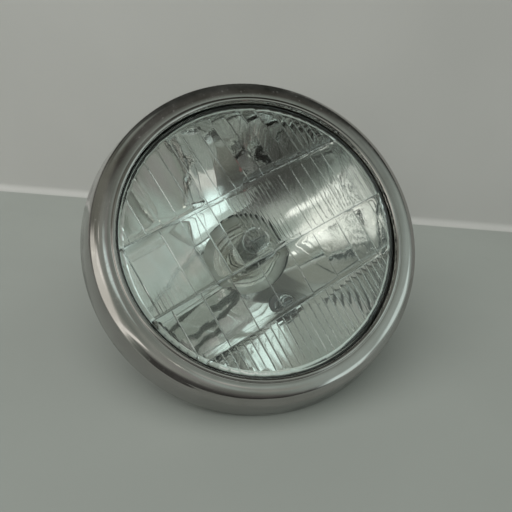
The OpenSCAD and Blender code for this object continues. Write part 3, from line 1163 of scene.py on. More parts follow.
@dataclass(frozen=True)
class Flutes:
    """A field of upright flutes on the back of the lens, with sizes in millimetres."""

    seams: tuple[float, ...]
    low_z: float
    high_z: float
    depth: float
    rise: float = 0.0
    lean: float = 0.0
    ridge: float = 0.3
    seam: float = 0.25
    full_ridge_width: float = 4.0
    leans: tuple[float, ...] = (1, -0.6, 0.3)

    def holds(self, x: float, z: float) -> bool:
        """Tells whether a point lies in the field."""
        return self.seams[0] <= x < self.seams[-1] and self.low_z <= z < self.high_z

    def height(self, x: float, z: float) -> float:
        """Works out the flutes, the field's slope and the ridges at its seams.

        Args:
            x: how far the point lies to the right.
            z: how high it lies.

        Returns:
            How far the glass stands out there.
        """
        k = bisect.bisect_right(self.seams, x) - 1
        left, right = self.seams[k], self.seams[k + 1]
        share = (x - left) / (right - left)
        climb = (z - self.low_z) / (self.high_z - self.low_z)
        tipped = self.lean * (2 * share - 1) * self.leans[k % len(self.leans)]
        edge = min(x - left, right - x, z - self.low_z, self.high_z - z)
        ridge = self.ridge * min(1.0, (right - left) / self.full_ridge_width) * max(0.0, 1 - edge / self.seam)
        return self.depth * 4 * share * (1 - share) + self.rise * climb + tipped + ridge


@dataclass
class Lens:
    """The fluted glass, with sizes in millimetres."""

    finishes: Finishes
    edge_r: float = 71.1
    face_y: float = -18.2
    dome_h: float = 4.8
    edge_y: float = -15.7
    glass_t: float = 3.0
    flange_r: float = 77.0
    flange_front_y: float = -6.5
    flange_back_y: float = -2.5
    bore_r: float = 70.3
    fluted_r: float = 69.8
    step: float = 0.45
    row_step: float = 4.0
    row_gap: float = 0.02
    border: float = 0.5
    end_angle: float = 14
    end_step: float = 0.7
    rings: int = 16
    crease: float = 62
    fields: tuple[Flutes, ...] = (
        Flutes(evenly(-72, 72, 3.8), -70, -40.5, 0.09),
        Flutes((-72, -59, -43.5, -28, -12, 5, 21, 36.5, 48.5, 60, 72), -40.5, -11.5, 0.2, 0.3, 0.22),
        Flutes(evenly(-64.6, -45.6, 1.9), -11.5, 0.2, 0.06),
        Flutes(evenly(-64.6, -45.6, 1.9), 17.5, 21.5, 0.06),
        Flutes(evenly(-10, 22, 2.1), -9.5, 22.5, 0.05),
        Flutes((-72, -64.6, -45.6, -34.5, -26, -18.5, -10), -11.5, 25.5, 0.16, 0.1, 0.16),
        Flutes((-10, -2, 6.5, 15, 22), -11.5, 25.5, 0.11, 0.1, 0.08),
        Flutes((22, 30, 37, 44, 51, 58), -11.5, 25.5, 0.13, 0.2, 0.1),
        Flutes(evenly(58, 72, 1.8), -11.5, 25.5, 0.05),
        Flutes(evenly(40, 72, 3.6), 25.5, 70, 0.07),
        Flutes(
            (-72, -60, -51.5, -43, -34.5, -26, -18.5, -10.5, -2, 6.5, 15, 23.3, 31.6, 40),
            *(25.5, 70, 0.18, -0.2, 0.18),
        ),
    )

    def dome(self, r: float, rim_r: float, y: float) -> float:
        """Returns the distance of a dome at radius r, where its rim has radius rim_r and lies at y."""
        return y - self.dome_h * (1 - (r / rim_r) ** 2)

    def back_y(self, x: float, z: float) -> float:
        """Places the back of the glass at a point of the fluted disc.

        Args:
            x: how far the point lies to the right.
            z: how high it lies.

        Returns:
            Where it lies along the axis.
        """
        r = math.hypot(x, z)
        plain = self.dome(r, self.fluted_r, self.face_y + self.glass_t)
        ease = min(1.0, max(0.0, (self.fluted_r - r) / self.border))
        flute = next((f.height(x, z) for f in self.fields if f.holds(x, z)), 0.0)
        return plain + flute * ease

    def columns(self) -> list[float]:
        """Places the lines of points: three at each seam, and closer together towards both ends.

        Returns:
            The x of each line.
        """
        reach = self.fluted_r * math.cos(math.radians(self.end_angle))
        seams = sorted({round(x, 1) for f in self.fields for x in f.seams if abs(x) < reach})
        sides = [x + side * Flutes.seam for x in seams for side in (-1, 0, 1)]
        turns = np.arange(0, self.end_angle, self.end_step)
        ends = [self.fluted_r * math.cos(math.radians(a)) for a in turns]
        fixed = sorted({round(x, 4) for x in [*sides, *ends, *[-x for x in ends]]})
        columns = []
        for low, high in zip(fixed, fixed[1:]):
            count = max(1, math.ceil((high - low) / self.step))
            columns += [low + (high - low) * i / count for i in range(count)]
        return [*columns, fixed[-1]]

    def rows(self) -> list[float]:
        """Places the rows of points, with two on either side of each seam between fields.

        Returns:
            The z of each row.
        """
        seams = sorted({f.low_z for f in self.fields if f.low_z > -self.fluted_r})
        stops = [-self.fluted_r, *seams, self.fluted_r]
        rows = []
        for low, high in zip(stops, stops[1:]):
            count = max(1, round((high - low) / self.row_step))
            start, end = low + Flutes.seam, high - Flutes.seam
            inner = [start + (end - start) * i / count for i in range(count + 1)]
            rows += [low + self.row_gap, *inner, high - self.row_gap]
        return rows

    def fluted_disc(self) -> tuple[list[Vector], Faces, list[int]]:
        """Builds the back of the glass.

        Returns:
            Its points, its faces, and its outermost points in order round the lens.
        """
        columns, rows = self.columns(), self.rows()
        points: list[Vector] = []
        grid = []
        for x in columns:
            reach = math.sqrt(max(0.0, self.fluted_r**2 - x**2))
            column = []
            for z in rows:
                kept = min(reach, max(-reach, z))
                if not column or abs(kept - points[column[-1]].z) > 1e-6:
                    points.append(Vector((x, self.back_y(x, kept), kept)))
                    column.append(len(points) - 1)
                else:
                    column.append(column[-1])
            grid.append(column)
        faces = []
        for a, b in zip(grid, grid[1:]):
            for i in range(len(rows) - 1):
                corners = tuple(dict.fromkeys((a[i], b[i], b[i + 1], a[i + 1])))
                if len(corners) > 2:
                    faces.append(corners)
        top = [column[-1] for column in grid]
        bottom = [column[0] for column in grid]
        loop = list(dict.fromkeys(top + bottom[::-1]))
        return points, faces, loop

    def glass(self) -> Made:
        """Builds the whole lens as one closed piece.

        Returns:
            The lens.
        """
        points, faces, loop = self.fluted_disc()
        angles = [math.atan2(points[i].z, points[i].x) for i in loop]
        shoulder = self.face_y + self.glass_t
        wall = [
            (self.fluted_r + 0.3, shoulder + 0.15),
            (self.bore_r, shoulder + 0.6),
            (self.bore_r, self.flange_back_y),
            (self.flange_r, self.flange_back_y),
        ]
        outside = [
            (self.flange_r, self.flange_front_y),
            (self.edge_r, self.flange_front_y),
            (self.edge_r, self.edge_y - 0.8),
            (self.edge_r - 0.25, self.edge_y - 1.5),
            (self.edge_r - 0.7, self.face_y + 0.4),
            (self.edge_r - 1.2, self.face_y + 0.08),
        ]
        face_r = self.edge_r - 1.8
        radii = [face_r * i / self.rings for i in range(self.rings, 0, -1)]
        front = [(r, self.dome(r, face_r, self.face_y)) for r in radii]
        previous = loop
        for r, y in [*wall, *outside, *front]:
            first = len(points)
            points += [Vector((r * math.cos(a), y, r * math.sin(a))) for a in angles]
            ring = list(range(first, first + len(angles)))
            for i in range(len(ring)):
                j = (i + 1) % len(ring)
                faces.append((previous[i], previous[j], ring[j], ring[i]))
            previous = ring
        points.append(Vector((0, self.face_y - self.dome_h, 0)))
        centre = len(points) - 1
        faces += [(previous[i], previous[(i + 1) % len(previous)], centre) for i in range(len(previous))]
        return piece("lens_glass", points, faces, self.crease)

    def build(self) -> None:
        """Builds and dresses the glass and its sealing bead."""
        dressed(self.glass(), self.finishes.lens_glass, Body.LENS_UNIT, ["lens"])
        refinished("lens_gasket", self.finishes.sealant)


@dataclass
class Reflector:
    """The mirror bowl with its neck and the position lamp's boss, with sizes in millimetres."""

    finishes: Finishes
    focal: float = 25.2
    mirror_r: float = 68.4
    lip_r: float = 69.9
    solid_r: float = 66.8
    solid_edge_y: float = front_of("reflector")
    flange_y: float = -1.7
    sheet_t: float = 0.8
    neck_r: float = 23.8
    seat_y: float = back_of("reflector")
    rolled_r: float = 78.2
    rolled_front_y: float = -7.0
    pilot_z: float = field(default_factory=lambda: middle_z("pilot_holder"))
    pilot_hole_r: float = 7.5
    boss_front: float = 8.0
    boss_back: float = 6.5
    hole_end: float = 60.0
    trim_front: float = -20.0
    rings: int = 70
    near: float = 0.02

    def mirror_y(self, r: float) -> float:
        """Returns where the mirror lies at radius r."""
        vertex = self.solid_edge_y + self.solid_r**2 / (4 * self.focal)
        return vertex - r**2 / (4 * self.focal)

    def bowl(self) -> Made:
        """Builds the bowl, its neck and its rolled edge as one piece.

        Returns:
            The bowl, without the position lamp's hole.
        """
        steps = self.rings
        radii = [self.mirror_r + (self.neck_r - self.mirror_r) * i / steps for i in range(steps + 1)]
        front = [(r, self.mirror_y(r)) for r in radii]
        back = []
        for r, y in front:
            slope = Vector((r / (2 * self.focal), 1)).normalized()
            back.append((r + slope.x * self.sheet_t, y + slope.y * self.sheet_t))
        neck_out = self.neck_r + self.sheet_t
        back = [p for p in back if neck_out + 0.3 < p[0] < self.mirror_r]
        edge_y = self.mirror_y(self.mirror_r)
        edge_in = self.rolled_r - self.sheet_t
        wall_r = self.lip_r - self.sheet_t
        outline = [
            *front,
            (self.neck_r, self.seat_y),
            (neck_out, self.seat_y),
            *back[::-1],
            (wall_r, edge_y + 1.6),
            (wall_r, self.flange_y + self.sheet_t),
            (self.rolled_r - 0.4, self.flange_y + self.sheet_t),
            (self.rolled_r, self.flange_y + self.sheet_t - 0.5),
            (self.rolled_r, self.rolled_front_y),
            (edge_in, self.rolled_front_y),
            (edge_in, self.flange_y),
            (self.lip_r, self.flange_y),
            (self.lip_r, edge_y + 0.35),
            (self.lip_r - 0.25, edge_y + 0.1),
        ]
        return lathe("reflector_bowl", outline, 256)

    def polished(self, bowl: Made) -> None:
        """Gives the mirror side exact normals and its own finish.

        Args:
            bowl: the finished mesh.
        """
        mesh = bowl.data
        mesh.materials.clear()
        mesh.materials.append(self.finishes.mirror)
        mesh.materials.append(self.finishes.shell_back)
        mesh.materials.append(self.finishes.neck_wall_painted_shade)
        normals = [Vector((0, 0, 0))] * len(mesh.loops)
        for polygon in mesh.polygons:
            corners = [mesh.vertices[i].co / MM for i in polygon.vertices]
            radii = [math.hypot(c.x, c.z) for c in corners]
            away = [abs(c.y - self.mirror_y(r)) for c, r in zip(corners, radii)]
            on_mirror = max(away) < self.near and max(radii) < self.mirror_r + self.near
            rearmost = max(c.y for c in corners)
            on_lip = min(radii) > self.mirror_r - self.near and rearmost < self.flange_y - 0.1
            on_flange = all(abs(c.y - self.flange_y) < self.near for c in corners)
            # Faces inside the neck take the near-black finish: painted shade in the neck.
            inside_neck = all(abs(r - self.neck_r) < self.near for r in radii)
            polygon.material_index = 0 if on_mirror or on_lip or on_flange else 2 if inside_neck else 1
            if on_mirror:
                for loop in polygon.loop_indices:
                    c = mesh.vertices[mesh.loops[loop].vertex_index].co / MM
                    normals[loop] = -Vector((c.x / (2 * self.focal), 1, c.z / (2 * self.focal))).normalized()
        mesh.normals_split_custom_set(normals)

    def build(self) -> None:
        """Builds and dresses the bowl and its boss."""
        bowl = self.bowl()
        pilot_y = self.mirror_y(-self.pilot_z)
        boss_start, boss_end = pilot_y - self.boss_front, pilot_y + self.boss_back
        hole = [(0, 0), (self.pilot_hole_r, 0), (self.pilot_hole_r, self.hole_end), (0, self.hole_end)]
        carved(bowl, lathe("hole_tool", hole, 96, at=(0, self.pilot_z)))
        boss_r = self.pilot_hole_r + self.sheet_t
        boss = [
            (self.pilot_hole_r, boss_start),
            (boss_r, boss_start),
            (boss_r, boss_end),
            (self.pilot_hole_r, boss_end),
        ]
        collar = lathe("boss", softened(boss, 0.25), 96, at=(0, self.pilot_z))
        front = [(r, self.mirror_y(r) + 0.1) for r in np.linspace(self.mirror_r, 0, 60)]
        ahead = [(0, self.trim_front), (self.mirror_r, self.trim_front)]
        carved(collar, lathe("trim_tool", [*front, *ahead], 192))
        self.polished(bowl)
        dressed(bowl, self.finishes.mirror, Body.LENS_UNIT, ["reflector"])
        dressed(collar, self.finishes.shell_back, Body.LENS_UNIT)


@dataclass
class Bulb:
    """The two-filament bulb, with sizes in millimetres."""

    finishes: Finishes
    glass_r: float = field(default_factory=lambda: size_of("bulb_glass").x / 2)
    wall: float = 0.8
    tip_y: float = front_of("bulb_glass")
    glass_end: float = back_of("bulb_glass")
    shoulder: float = 5.0
    flange_r: float = 20.4
    flange_y: float = front_of("bulb_flange")
    flange_t: float = field(default_factory=lambda: size_of("bulb_flange").y)
    base_r: float = 11.0
    bead_depth: float = 0.5
    bead_front: tuple[float, ...] = (13.4, 14.2, 16.2, 17.0)
    bead_back: tuple[float, ...] = (17.2, 16.3, 14.1, 13.2)
    tab_out: float = 21.5
    tab_half: float = 3.9
    filament_l: float = 4.0
    filament_r: float = 0.66
    filament_turns: int = 9
    dip_z: float = 0.6
    wire_r: float = 0.13
    tabs: tuple[int, ...] = (30, 150, 270)
    crease: float = 50

    def tip(self, r: float, depth: float, steps: int = 10) -> Outline:
        """Points of the rounded tip, from the wall to the axis.

        Args:
            r: the tip's radius.
            depth: how far it stands over its shoulder.
            steps: how many pieces it has.

        Returns:
            The tip's points, the one on the axis last.
        """
        base = self.tip_y + self.shoulder
        turns = [math.pi / 2 * i / steps for i in range(steps)]
        return [*[(r * math.cos(t), base - depth * math.sin(t)) for t in turns], (0.0, base - depth)]

    def envelope(self) -> Made:
        """Builds the glass, closed at its tip and open at its foot.

        Returns:
            The glass.
        """
        inner_r = self.glass_r - self.wall
        outer = [(self.glass_r, self.glass_end), *self.tip(self.glass_r, self.shoulder)]
        inner = [(inner_r, self.glass_end), *self.tip(inner_r, self.shoulder - self.wall)]
        return lathe("bulb_envelope", outer + inner[::-1], 96, crease=self.crease)

    def flange(self) -> Made:
        """Builds the pressed flange with its three tabs.

        Returns:
            The flange.
        """
        y, t = self.flange_y, self.flange_t
        front, back, hollow = y - self.bead_depth, y + t, y + t - self.bead_depth + 0.1
        plate = [
            (self.base_r, y),
            *zip(self.bead_front, (y, front, front, y)),
            (self.flange_r, y),
            (self.flange_r, back),
            *zip(self.bead_back, (back, hollow, hollow, back)),
            (self.base_r, back),
        ]
        parts = [lathe("flange_plate", softened(plate, 0.2, 2), 128)]
        for at in self.tabs:
            low = (self.flange_r - 2.4, y + 0.01, -self.tab_half)
            high = (self.tab_out, back - 0.01, self.tab_half)
            parts.append(turned_to(slab("tab", low, high, 0.25), at))
        return joined("bulb_seat_flange", parts)

    def base(self) -> Made:
        """Builds the bulb's metal sleeve with its crimped beads.

        Returns:
            The sleeve.
        """
        start, end = ends_of("bulb_base")
        bore, groove = self.glass_r + 0.02, self.base_r - 0.4
        sleeve = [
            (bore, start),
            (self.base_r - 0.5, start),
            (self.base_r, start + 0.7),
            (self.base_r, start + 3.2),
            (groove, start + 3.7),
            (groove, start + 4.7),
            (self.base_r, start + 5.2),
            (self.base_r, end),
            (bore, end),
        ]
        return lathe("bulb_sleeve", softened(sleeve, 0.25), 96)

    def filament(self, name: str, middle: float, z: float) -> Made:
        """Builds a coiled filament.

        Args:
            name: the piece's name.
            middle: where its middle lies along the axis.
            z: its height over the axis.

        Returns:
            The coil.
        """
        half = self.filament_l / 2
        ends = [Vector((0, middle + side * half, z)) for side in (-1, 1)]
        path = helix(*ends, Vector((1, 0, 0)), self.filament_r, self.filament_turns, 16)
        return tube(name, path, self.wire_r, 6)

    def build(self) -> None:
        """Builds and dresses the bulb."""
        f = self.finishes
        unit = Body.LENS_UNIT
        dressed(self.envelope(), f.bulb_glass, unit, ["bulb_glass"])
        dressed(self.flange(), f.nickel, unit, ["bulb_flange"])
        dressed(self.base(), f.nickel, unit, ["bulb_base"])
        low, high = ends_of("bulb_filaments")
        pair = [
            self.filament("dip_coil", low + self.filament_l / 2, self.dip_z),
            self.filament("main_coil", high - self.filament_l / 2, 0),
        ]
        dressed(joined("filament_coils", pair), f.tungsten, unit, ["bulb_filaments"])
        # The supports and shield take the much darker nickel, which darkens the middle of the bulb.
        refinished("bulb_supports", f.dark_nickel)
        refinished("bulb_shield", f.dark_nickel)
        refinished("bulb_terminals", f.nickel)
        refinished("bulb_insulator", f.resin)


@dataclass
class RearGear:
    """What holds and covers the bulb behind the reflector, with sizes in millimetres."""

    finishes: Finishes
    fit_r: float = 26.1
    wall: float = 1.6
    collar_r: float = 22.0
    step_y: float = 40.6
    wall_y: float = 52.6
    rounding: float = 0.8
    rib_h: float = 0.35
    ribs: int = 24
    slot_gap: float = 0.5
    blade_half_t: float = 0.4
    blade_half_w: float = 4.0
    side_blades_x: float = 8.0
    top_blade_z: float = 7.0
    past_end_y: float = 90.0

    def ribbed(self, r: float, y: float, angle: float) -> float:
        """Returns the boot's radius with its grip ribs."""
        on_grip = self.step_y + 5.5 < y < self.wall_y - 1 and r > self.collar_r + 0.2
        return r + self.rib_h * max(0.0, math.cos(self.ribs * angle)) if on_grip else r

    def slots(self) -> list[tuple[tuple[float, float, float], tuple[float, float, float]]]:
        """Places the three slots that the bulb's blades pass through.

        Returns:
            The lowest and highest corner of each.
        """
        thick, wide = self.blade_half_t + self.slot_gap, self.blade_half_w + self.slot_gap
        places = (
            (-self.side_blades_x, 0.0, thick, wide),
            (self.side_blades_x, 0.0, thick, wide),
            (0.0, self.top_blade_z, wide, thick),
        )
        return [((x - w, self.step_y, z - h), (x + w, self.past_end_y, z + h)) for x, z, w, h in places]

    def boot(self) -> Made:
        """Builds the rubber boot with its lips, step and grip ribs.

        Returns:
            The boot.
        """
        start, end = ends_of("rubber_boot")
        out, bore, c, step = self.fit_r + self.wall, self.collar_r - self.wall, self.collar_r, self.step_y
        outline = [
            (out, start),
            (out + 0.5, start + 1.5),
            (out + 0.5, start + 3),
            (out, start + 4.5),
            (out, step),
            (out - 1.4, step + 2.2),
            (c + 3.2, step + 3.2),
            (c + 2, step + 5),
            (c + 0.6, self.wall_y - 1),
            (c, self.wall_y + 1),
            (c, end - 2.4),
            (c + 0.6, end - 1.6),
            (c + 0.6, end),
            (bore, end),
            (bore, self.wall_y),
            (0, self.wall_y),
            (0, self.wall_y - self.wall),
            (bore - 0.4, self.wall_y - self.wall),
            (c - 0.4, step + 4.4),
            (c + 1.4, step + 1.4),
            (self.fit_r - 1.6, step + 0.4),
            (self.fit_r - 1.2, step - 1.5),
            (self.fit_r, step - 1.5),
            (self.fit_r, start),
        ]
        boot = lathe("dust_boot", softened(outline, self.rounding, 4), 192, swell=self.ribbed)
        for low, high in self.slots():
            carved(boot, slab("slot_tool", low, high, 0.1))
        return resmoothed(boot)

    def build(self) -> None:
        """Builds and dresses the boot, and refinishes the collar and lock ring."""
        dressed(self.boot(), self.finishes.rubber, Body.BOOT, ["rubber_boot"])
        refinished("bulb_collar", self.finishes.zinc)
        refinished("bulb_lock_ring", self.finishes.zinc)
        refinished("collar_rivets", self.finishes.nickel)


@dataclass
class PilotLamp:
    """The small position lamp below the bulb, with sizes in millimetres."""

    finishes: Finishes
    at_z: float = field(default_factory=lambda: middle_z("pilot_holder"))
    hole_r: float = 7.5
    front_y: float = front_of("pilot_holder")
    end_y: float = back_of("pilot_holder")
    tip_y: float = front_of("pilot_bulb")
    glass_r: float = 4.9
    glass_t: float = 0.6
    socket_r: float = 4.6
    boss_depth: float = 12.0
    rib_depth: float = 0.25
    ribs: int = 18
    contact_x: float = 2.4
    contact_slot: tuple[float, float] = (0.8, 0.4)
    past_end_y: float = 80.0
    coil_back: float = 4.8
    coil_half: float = 2.0
    coil_r: float = 0.28
    coil_turns: int = 12
    post_x: float = 2.1
    post_l: float = 8.0

    def holder(self) -> Made:
        """Builds the rubber holder with its pull ribs.

        Returns:
            The holder.
        """
        boss_end = self.end_y - self.boss_depth
        body_r, plug_r, flange_r = self.hole_r - 1.5, self.hole_r - 0.3, self.hole_r + 0.5
        socket_end = self.front_y + 5
        outline = [
            (self.socket_r, self.front_y),
            (self.hole_r - 0.5, self.front_y),
            (plug_r, self.front_y + 0.6),
            (plug_r, boss_end + 0.2),
            (flange_r, boss_end + 0.2),
            (flange_r, boss_end + 2.4),
            (body_r, boss_end + 2.6),
            (body_r, self.end_y),
            (0, self.end_y),
            (0, socket_end),
            (self.socket_r, socket_end),
        ]

        def ribbed(r: float, y: float, angle: float) -> float:
            """Returns the body's radius with its grip ribs."""
            on_grip = r > body_r - 0.1 and y > boss_end + 3.5
            return r - self.rib_depth * max(0.0, math.cos(self.ribs * angle)) if on_grip else r

        made = lathe("pilot_grip", softened(outline, 0.4), 144, at=(0, self.at_z), swell=ribbed)
        half_w, half_h = self.contact_slot
        for x in (-self.contact_x, self.contact_x):
            low = (x - half_w, self.front_y + 4, self.at_z - half_h)
            carved(made, slab("slot_tool", low, (x + half_w, self.past_end_y, self.at_z + half_h), 0.05))
        return resmoothed(made)

    def glass(self) -> Made:
        """Builds the little bulb's glass.

        Returns:
            The glass.
        """
        r, inner_r = self.glass_r, self.glass_r - self.glass_t
        steps = 12
        turns = [math.pi / 2 * i / steps for i in range(steps)]
        centre = self.tip_y + r
        base = ends_of("pilot_bulb")[1]
        outer = [(r * math.cos(t), centre - r * math.sin(t)) for t in turns]
        inner = [(inner_r * math.cos(t), centre - inner_r * math.sin(t)) for t in turns[::-1]]
        outline = [
            (0.0, base),
            (4.1, base),
            (4.3, base - 4),
            *outer,
            (0.0, self.tip_y),
            (0.0, centre - inner_r),
            *inner,
            (3.5, base - 5),
            (0, base - 5),
        ]
        return lathe("pilot_envelope", outline, 64, at=(0, self.at_z), crease=WIRE_CREASE)

    def filament(self) -> Made:
        """Builds the coil between its two posts.

        Returns:
            The coil and posts.
        """
        y, z = self.tip_y + self.coil_back, self.at_z
        ends = [Vector((x, y, z)) for x in (-self.coil_half, self.coil_half)]
        coil = helix(*ends, Vector((0, 1, 0)), self.coil_r, self.coil_turns, 10)
        posts = [[Vector((x, y, z)), Vector((x, y + self.post_l, z))] for x in (-self.post_x, self.post_x)]
        wires = [tube("post", post, 0.2, 8) for post in posts]
        return joined("pilot_coil", [tube("coil", coil, 0.07, 6), *wires])

    def build(self) -> None:
        """Builds and dresses the position lamp."""
        f = self.finishes
        dressed(self.holder(), f.rubber, Body.PILOT, ["pilot_holder"])
        dressed(self.glass(), f.bulb_glass, Body.PILOT, ["pilot_bulb"])
        dressed(self.filament(), f.tungsten, Body.PILOT, ["pilot_filament"])
        refinished("pilot_contacts", f.brass)


@dataclass
class UnitRing:
    """The ring that carries the lens unit, with its clips, pivots and nut."""

    finishes: Finishes

    def build(self) -> None:
        """Refinishes the ring's own parts."""
        for node in ("unit_ring", "pivot_pin_upper", "pivot_pin_lower"):
            refinished(node, self.finishes.zinc)
        refinished("ring_clips", self.finishes.spring_steel)
        refinished("adjuster_nut", self.finishes.brass)
        refinished("pivot_washers", self.finishes.nylon)


# Studio


class Table:
    """The pale table that the lamp lies on, and the directions that belong to it.

    UP points out of the table and VIEW along the camera's view. OFFSET is how high the table lies, and
    WALL_AT how far the wall stands ahead, both in metres from the part's origin.
    """

    UP = Vector((0.317, -0.682, 0.659)).normalized()
    VIEW = Vector((0.300, 0.949, 0.093))
    AHEAD = (VIEW - UP * VIEW.dot(UP)).normalized()
    ACROSS = AHEAD.cross(UP)
    OFFSET = -0.0662
    WALL_AT = 0.19

    @classmethod
    def point(cls, across: float, ahead: float, up: float) -> Vector:
        """Returns the place so far to the right, ahead and up, in metres from the table under the origin."""
        return cls.UP * (cls.OFFSET + up) + cls.ACROSS * across + cls.AHEAD * ahead

    @classmethod
    def direction(cls, azimuth: float, elevation: float) -> Vector:
        """Turns two angles into a direction.

        Args:
            azimuth: degrees round to the right from the way the camera looks.
            elevation: degrees up from the table.

        Returns:
            The direction.
        """
        a, e = math.radians(azimuth), math.radians(elevation)
        level = cls.AHEAD * math.cos(a) + cls.ACROSS * math.sin(a)
        return level * math.cos(e) + cls.UP * math.sin(e)


class Tone(Enum):
    """Brightness and tint of the surroundings that the lamp shows."""

    DARK = (0.05, 0.05, 0.045)
    SHADE = (0.12, 0.12, 0.1)
    DUSK = (0.23, 0.24, 0.2)
    DIM = (0.31, 0.35, 0.31)
    SOFT = (0.4, 0.4, 0.38)
    MIDDLE = (0.47, 0.5, 0.45)
    FAIR = (0.55, 0.65, 0.6)
    PALE = (0.8, 0.8, 0.75)
    BRIGHT = (1.2, 1.2, 1.1)
    GREENISH = (1.2, 1.45, 1.4)
    GLARE = (1.5, 1.5, 1.4)
    GLINT = (2.1, 2.1, 1.9)
    RED = (0.3, 0.06, 0.06)


@dataclass(frozen=True)
class Panel:
    """A soft panel far round the lamp that its chrome and mirror show, by direction in degrees."""

    azimuth: float
    elevation: float
    half_width: float
    half_height: float
    softness: float
    tone: Tone
    tilt: float = 0.0


@dataclass
class Studio:
    """Table, wall, light and camera."""

    panels: tuple[Panel, ...] = (
        Panel(165, 38, 32, 28, 0.5, Tone.DIM),
        Panel(-150, 28, 30, 30, 0.5, Tone.MIDDLE),
        Panel(110, 24, 34, 30, 0.6, Tone.FAIR),
        Panel(-98, 44, 22, 18, 0.3, Tone.DUSK),
        Panel(165, -24, 34, 20, 0.3, Tone.DARK),
        Panel(-165, -20, 22, 17, 0.25, Tone.DARK),
        Panel(130, -25, 13, 9, 0.15, Tone.SHADE),
        Panel(-135, -10, 12, 14, 0.2, Tone.DIM),
        Panel(-124, 11, 18, 20, 0.16, Tone.BRIGHT),
        Panel(-105, 35, 14, 6, 0.1, Tone.DUSK),
        Panel(-160, 32, 12, 14, 0.2, Tone.DIM),
        Panel(-66, 52, 10, 8, 0.15, Tone.DIM),
        Panel(172, 22, 10, 6, 0.15, Tone.SOFT),
        Panel(150, 28, 7, 6, 0.12, Tone.MIDDLE),
        Panel(161, 29, 5, 8, 0.12, Tone.FAIR),
        Panel(147, 45, 5, 4, 0.1, Tone.FAIR),
        Panel(158, 52, 8, 4, 0.12, Tone.DIM),
        Panel(171, 56, 6, 5, 0.1, Tone.SOFT),
        Panel(178, 47, 6, 4, 0.1, Tone.DIM),
        Panel(118, -12, 8, 6, 0.08, Tone.PALE),
        Panel(104, 14, 12, 9, 0.1, Tone.GREENISH),
        Panel(126, 1, 9, 8, 0.08, Tone.GREENISH),
        Panel(-128, 27, 7, 5, 0.08, Tone.GLARE),
        Panel(-112, 21, 7, 4, 0.06, Tone.BRIGHT),
        Panel(-148, 5, 15, 2.6, 0.04, Tone.GLARE, 32),
        Panel(153, 40, 3.5, 3, 0.06, Tone.PALE),
        Panel(-175, 51, 8, 5, 0.08, Tone.GREENISH),
        Panel(-134, 45, 2, 1.5, 0.03, Tone.GLARE),
        Panel(154, -21, 1.4, 7, 0.03, Tone.MIDDLE),
        Panel(148, -20, 1.6, 4, 0.03, Tone.RED),
        Panel(-130, 24, 1.3, 1.0, 0.02, Tone.GLINT),
        Panel(-121, 22, 1.0, 0.8, 0.02, Tone.GLINT),
        Panel(-113, 20, 1.3, 1.0, 0.02, Tone.GLINT),
        Panel(170, 34, 1.5, 1.1, 0.02, Tone.GLINT),
    )
    lens_mm: float = 35.16
    sensor_mm: float = 36.0
    camera_place: tuple[float, float, float] = (-0.0847, -0.2535, -0.0319)
    camera_azimuth: float = -17.54
    camera_elevation: float = -5.34
    camera_roll: float = -31.05
    low_walls: Colour = (0.2, 0.2, 0.19)
    high_walls: Colour = (0.17, 0.17, 0.155)
    ceiling: Colour = (0.065, 0.065, 0.054)
    far_side: Colour = (0.032, 0.036, 0.03)
    backdrop: Colour = (0.5, 0.51, 0.49)
    stage_half_width: float = 1.1
    stage_front: float = -0.135
    wall_height: float = 0.21
    foot_r: float = 0.006
    foot_steps: int = 6
    gloss_spread: float = 0.06

    def one_sided(self, name: str, colour: Colour, shade: Colour, roughness: float) -> Material:
        """Builds a plain stage surface that only shows from its front.

        Args:
            name: the material's name.
            colour: its main colour.
            shade: the colour of its faint clouds.
            roughness: how matt it is.

        Returns:
            The material.
        """
        made, w = new_material(name)
        cloud = w.clouds(7.0, 5.0)
        gloss = w.clouds(30.0, 4.0, roughness - self.gloss_spread, roughness + self.gloss_spread)
        feeds = {"Base Color": w.mix(cloud, colour, shade), "Roughness": gloss}
        front = w.add("ShaderNodeBsdfPrincipled", feeds)
        clear = w.add("ShaderNodeBsdfTransparent")
        behind = w.add("ShaderNodeNewGeometry").outputs["Backfacing"]
        both = w.add("ShaderNodeMixShader", {0: behind, 1: front.outputs[0], 2: clear.outputs[0]})
        w.finish(both.outputs[0])
        return made

    def sweep(self) -> None:
        """Builds the table and the wall behind it, with a rounded foot between them."""
        foot, wall = self.foot_r, Table.WALL_AT
        turns = [math.pi / 2 * i / self.foot_steps for i in range(1, self.foot_steps)]
        line = [
            (self.stage_front, 0.0),
            (wall - foot, 0.0),
            *[(wall - foot + foot * math.sin(a), foot - foot * math.cos(a)) for a in turns],
            (wall, foot),
            (wall, self.wall_height),
        ]
        half = self.stage_half_width
        points = [Table.point(side * half, ahead, up) for ahead, up in line for side in (-1, 1)]
        faces = [(2 * i, 2 * i + 1, 2 * i + 3, 2 * i + 2) for i in range(len(line) - 1)]
        mesh = bpy.data.meshes.new("table_and_wall")
        mesh.from_pydata(points, [], faces)
        mesh.shade_smooth()
        floor = placed("table_and_wall", mesh)
        # The table top is coloured darker than the wall: painted shade, for the lamps lighting the table more
        # than the wall. The table's green tint is its own.
        table, wall = (0.275, 0.29, 0.268), (0.42, 0.414, 0.396)
        mesh.materials.append(self.one_sided("table_top", table, (0.255, 0.269, 0.248), 0.42))
        mesh.materials.append(self.one_sided("plain_wall", wall, (0.394, 0.389, 0.372), 0.5))
        for polygon in mesh.polygons[1:]:
            polygon.material_index = 1
        log.info("table: stage, facing %s", tuple(round(c, 2) for c in mesh.polygons[0].normal))

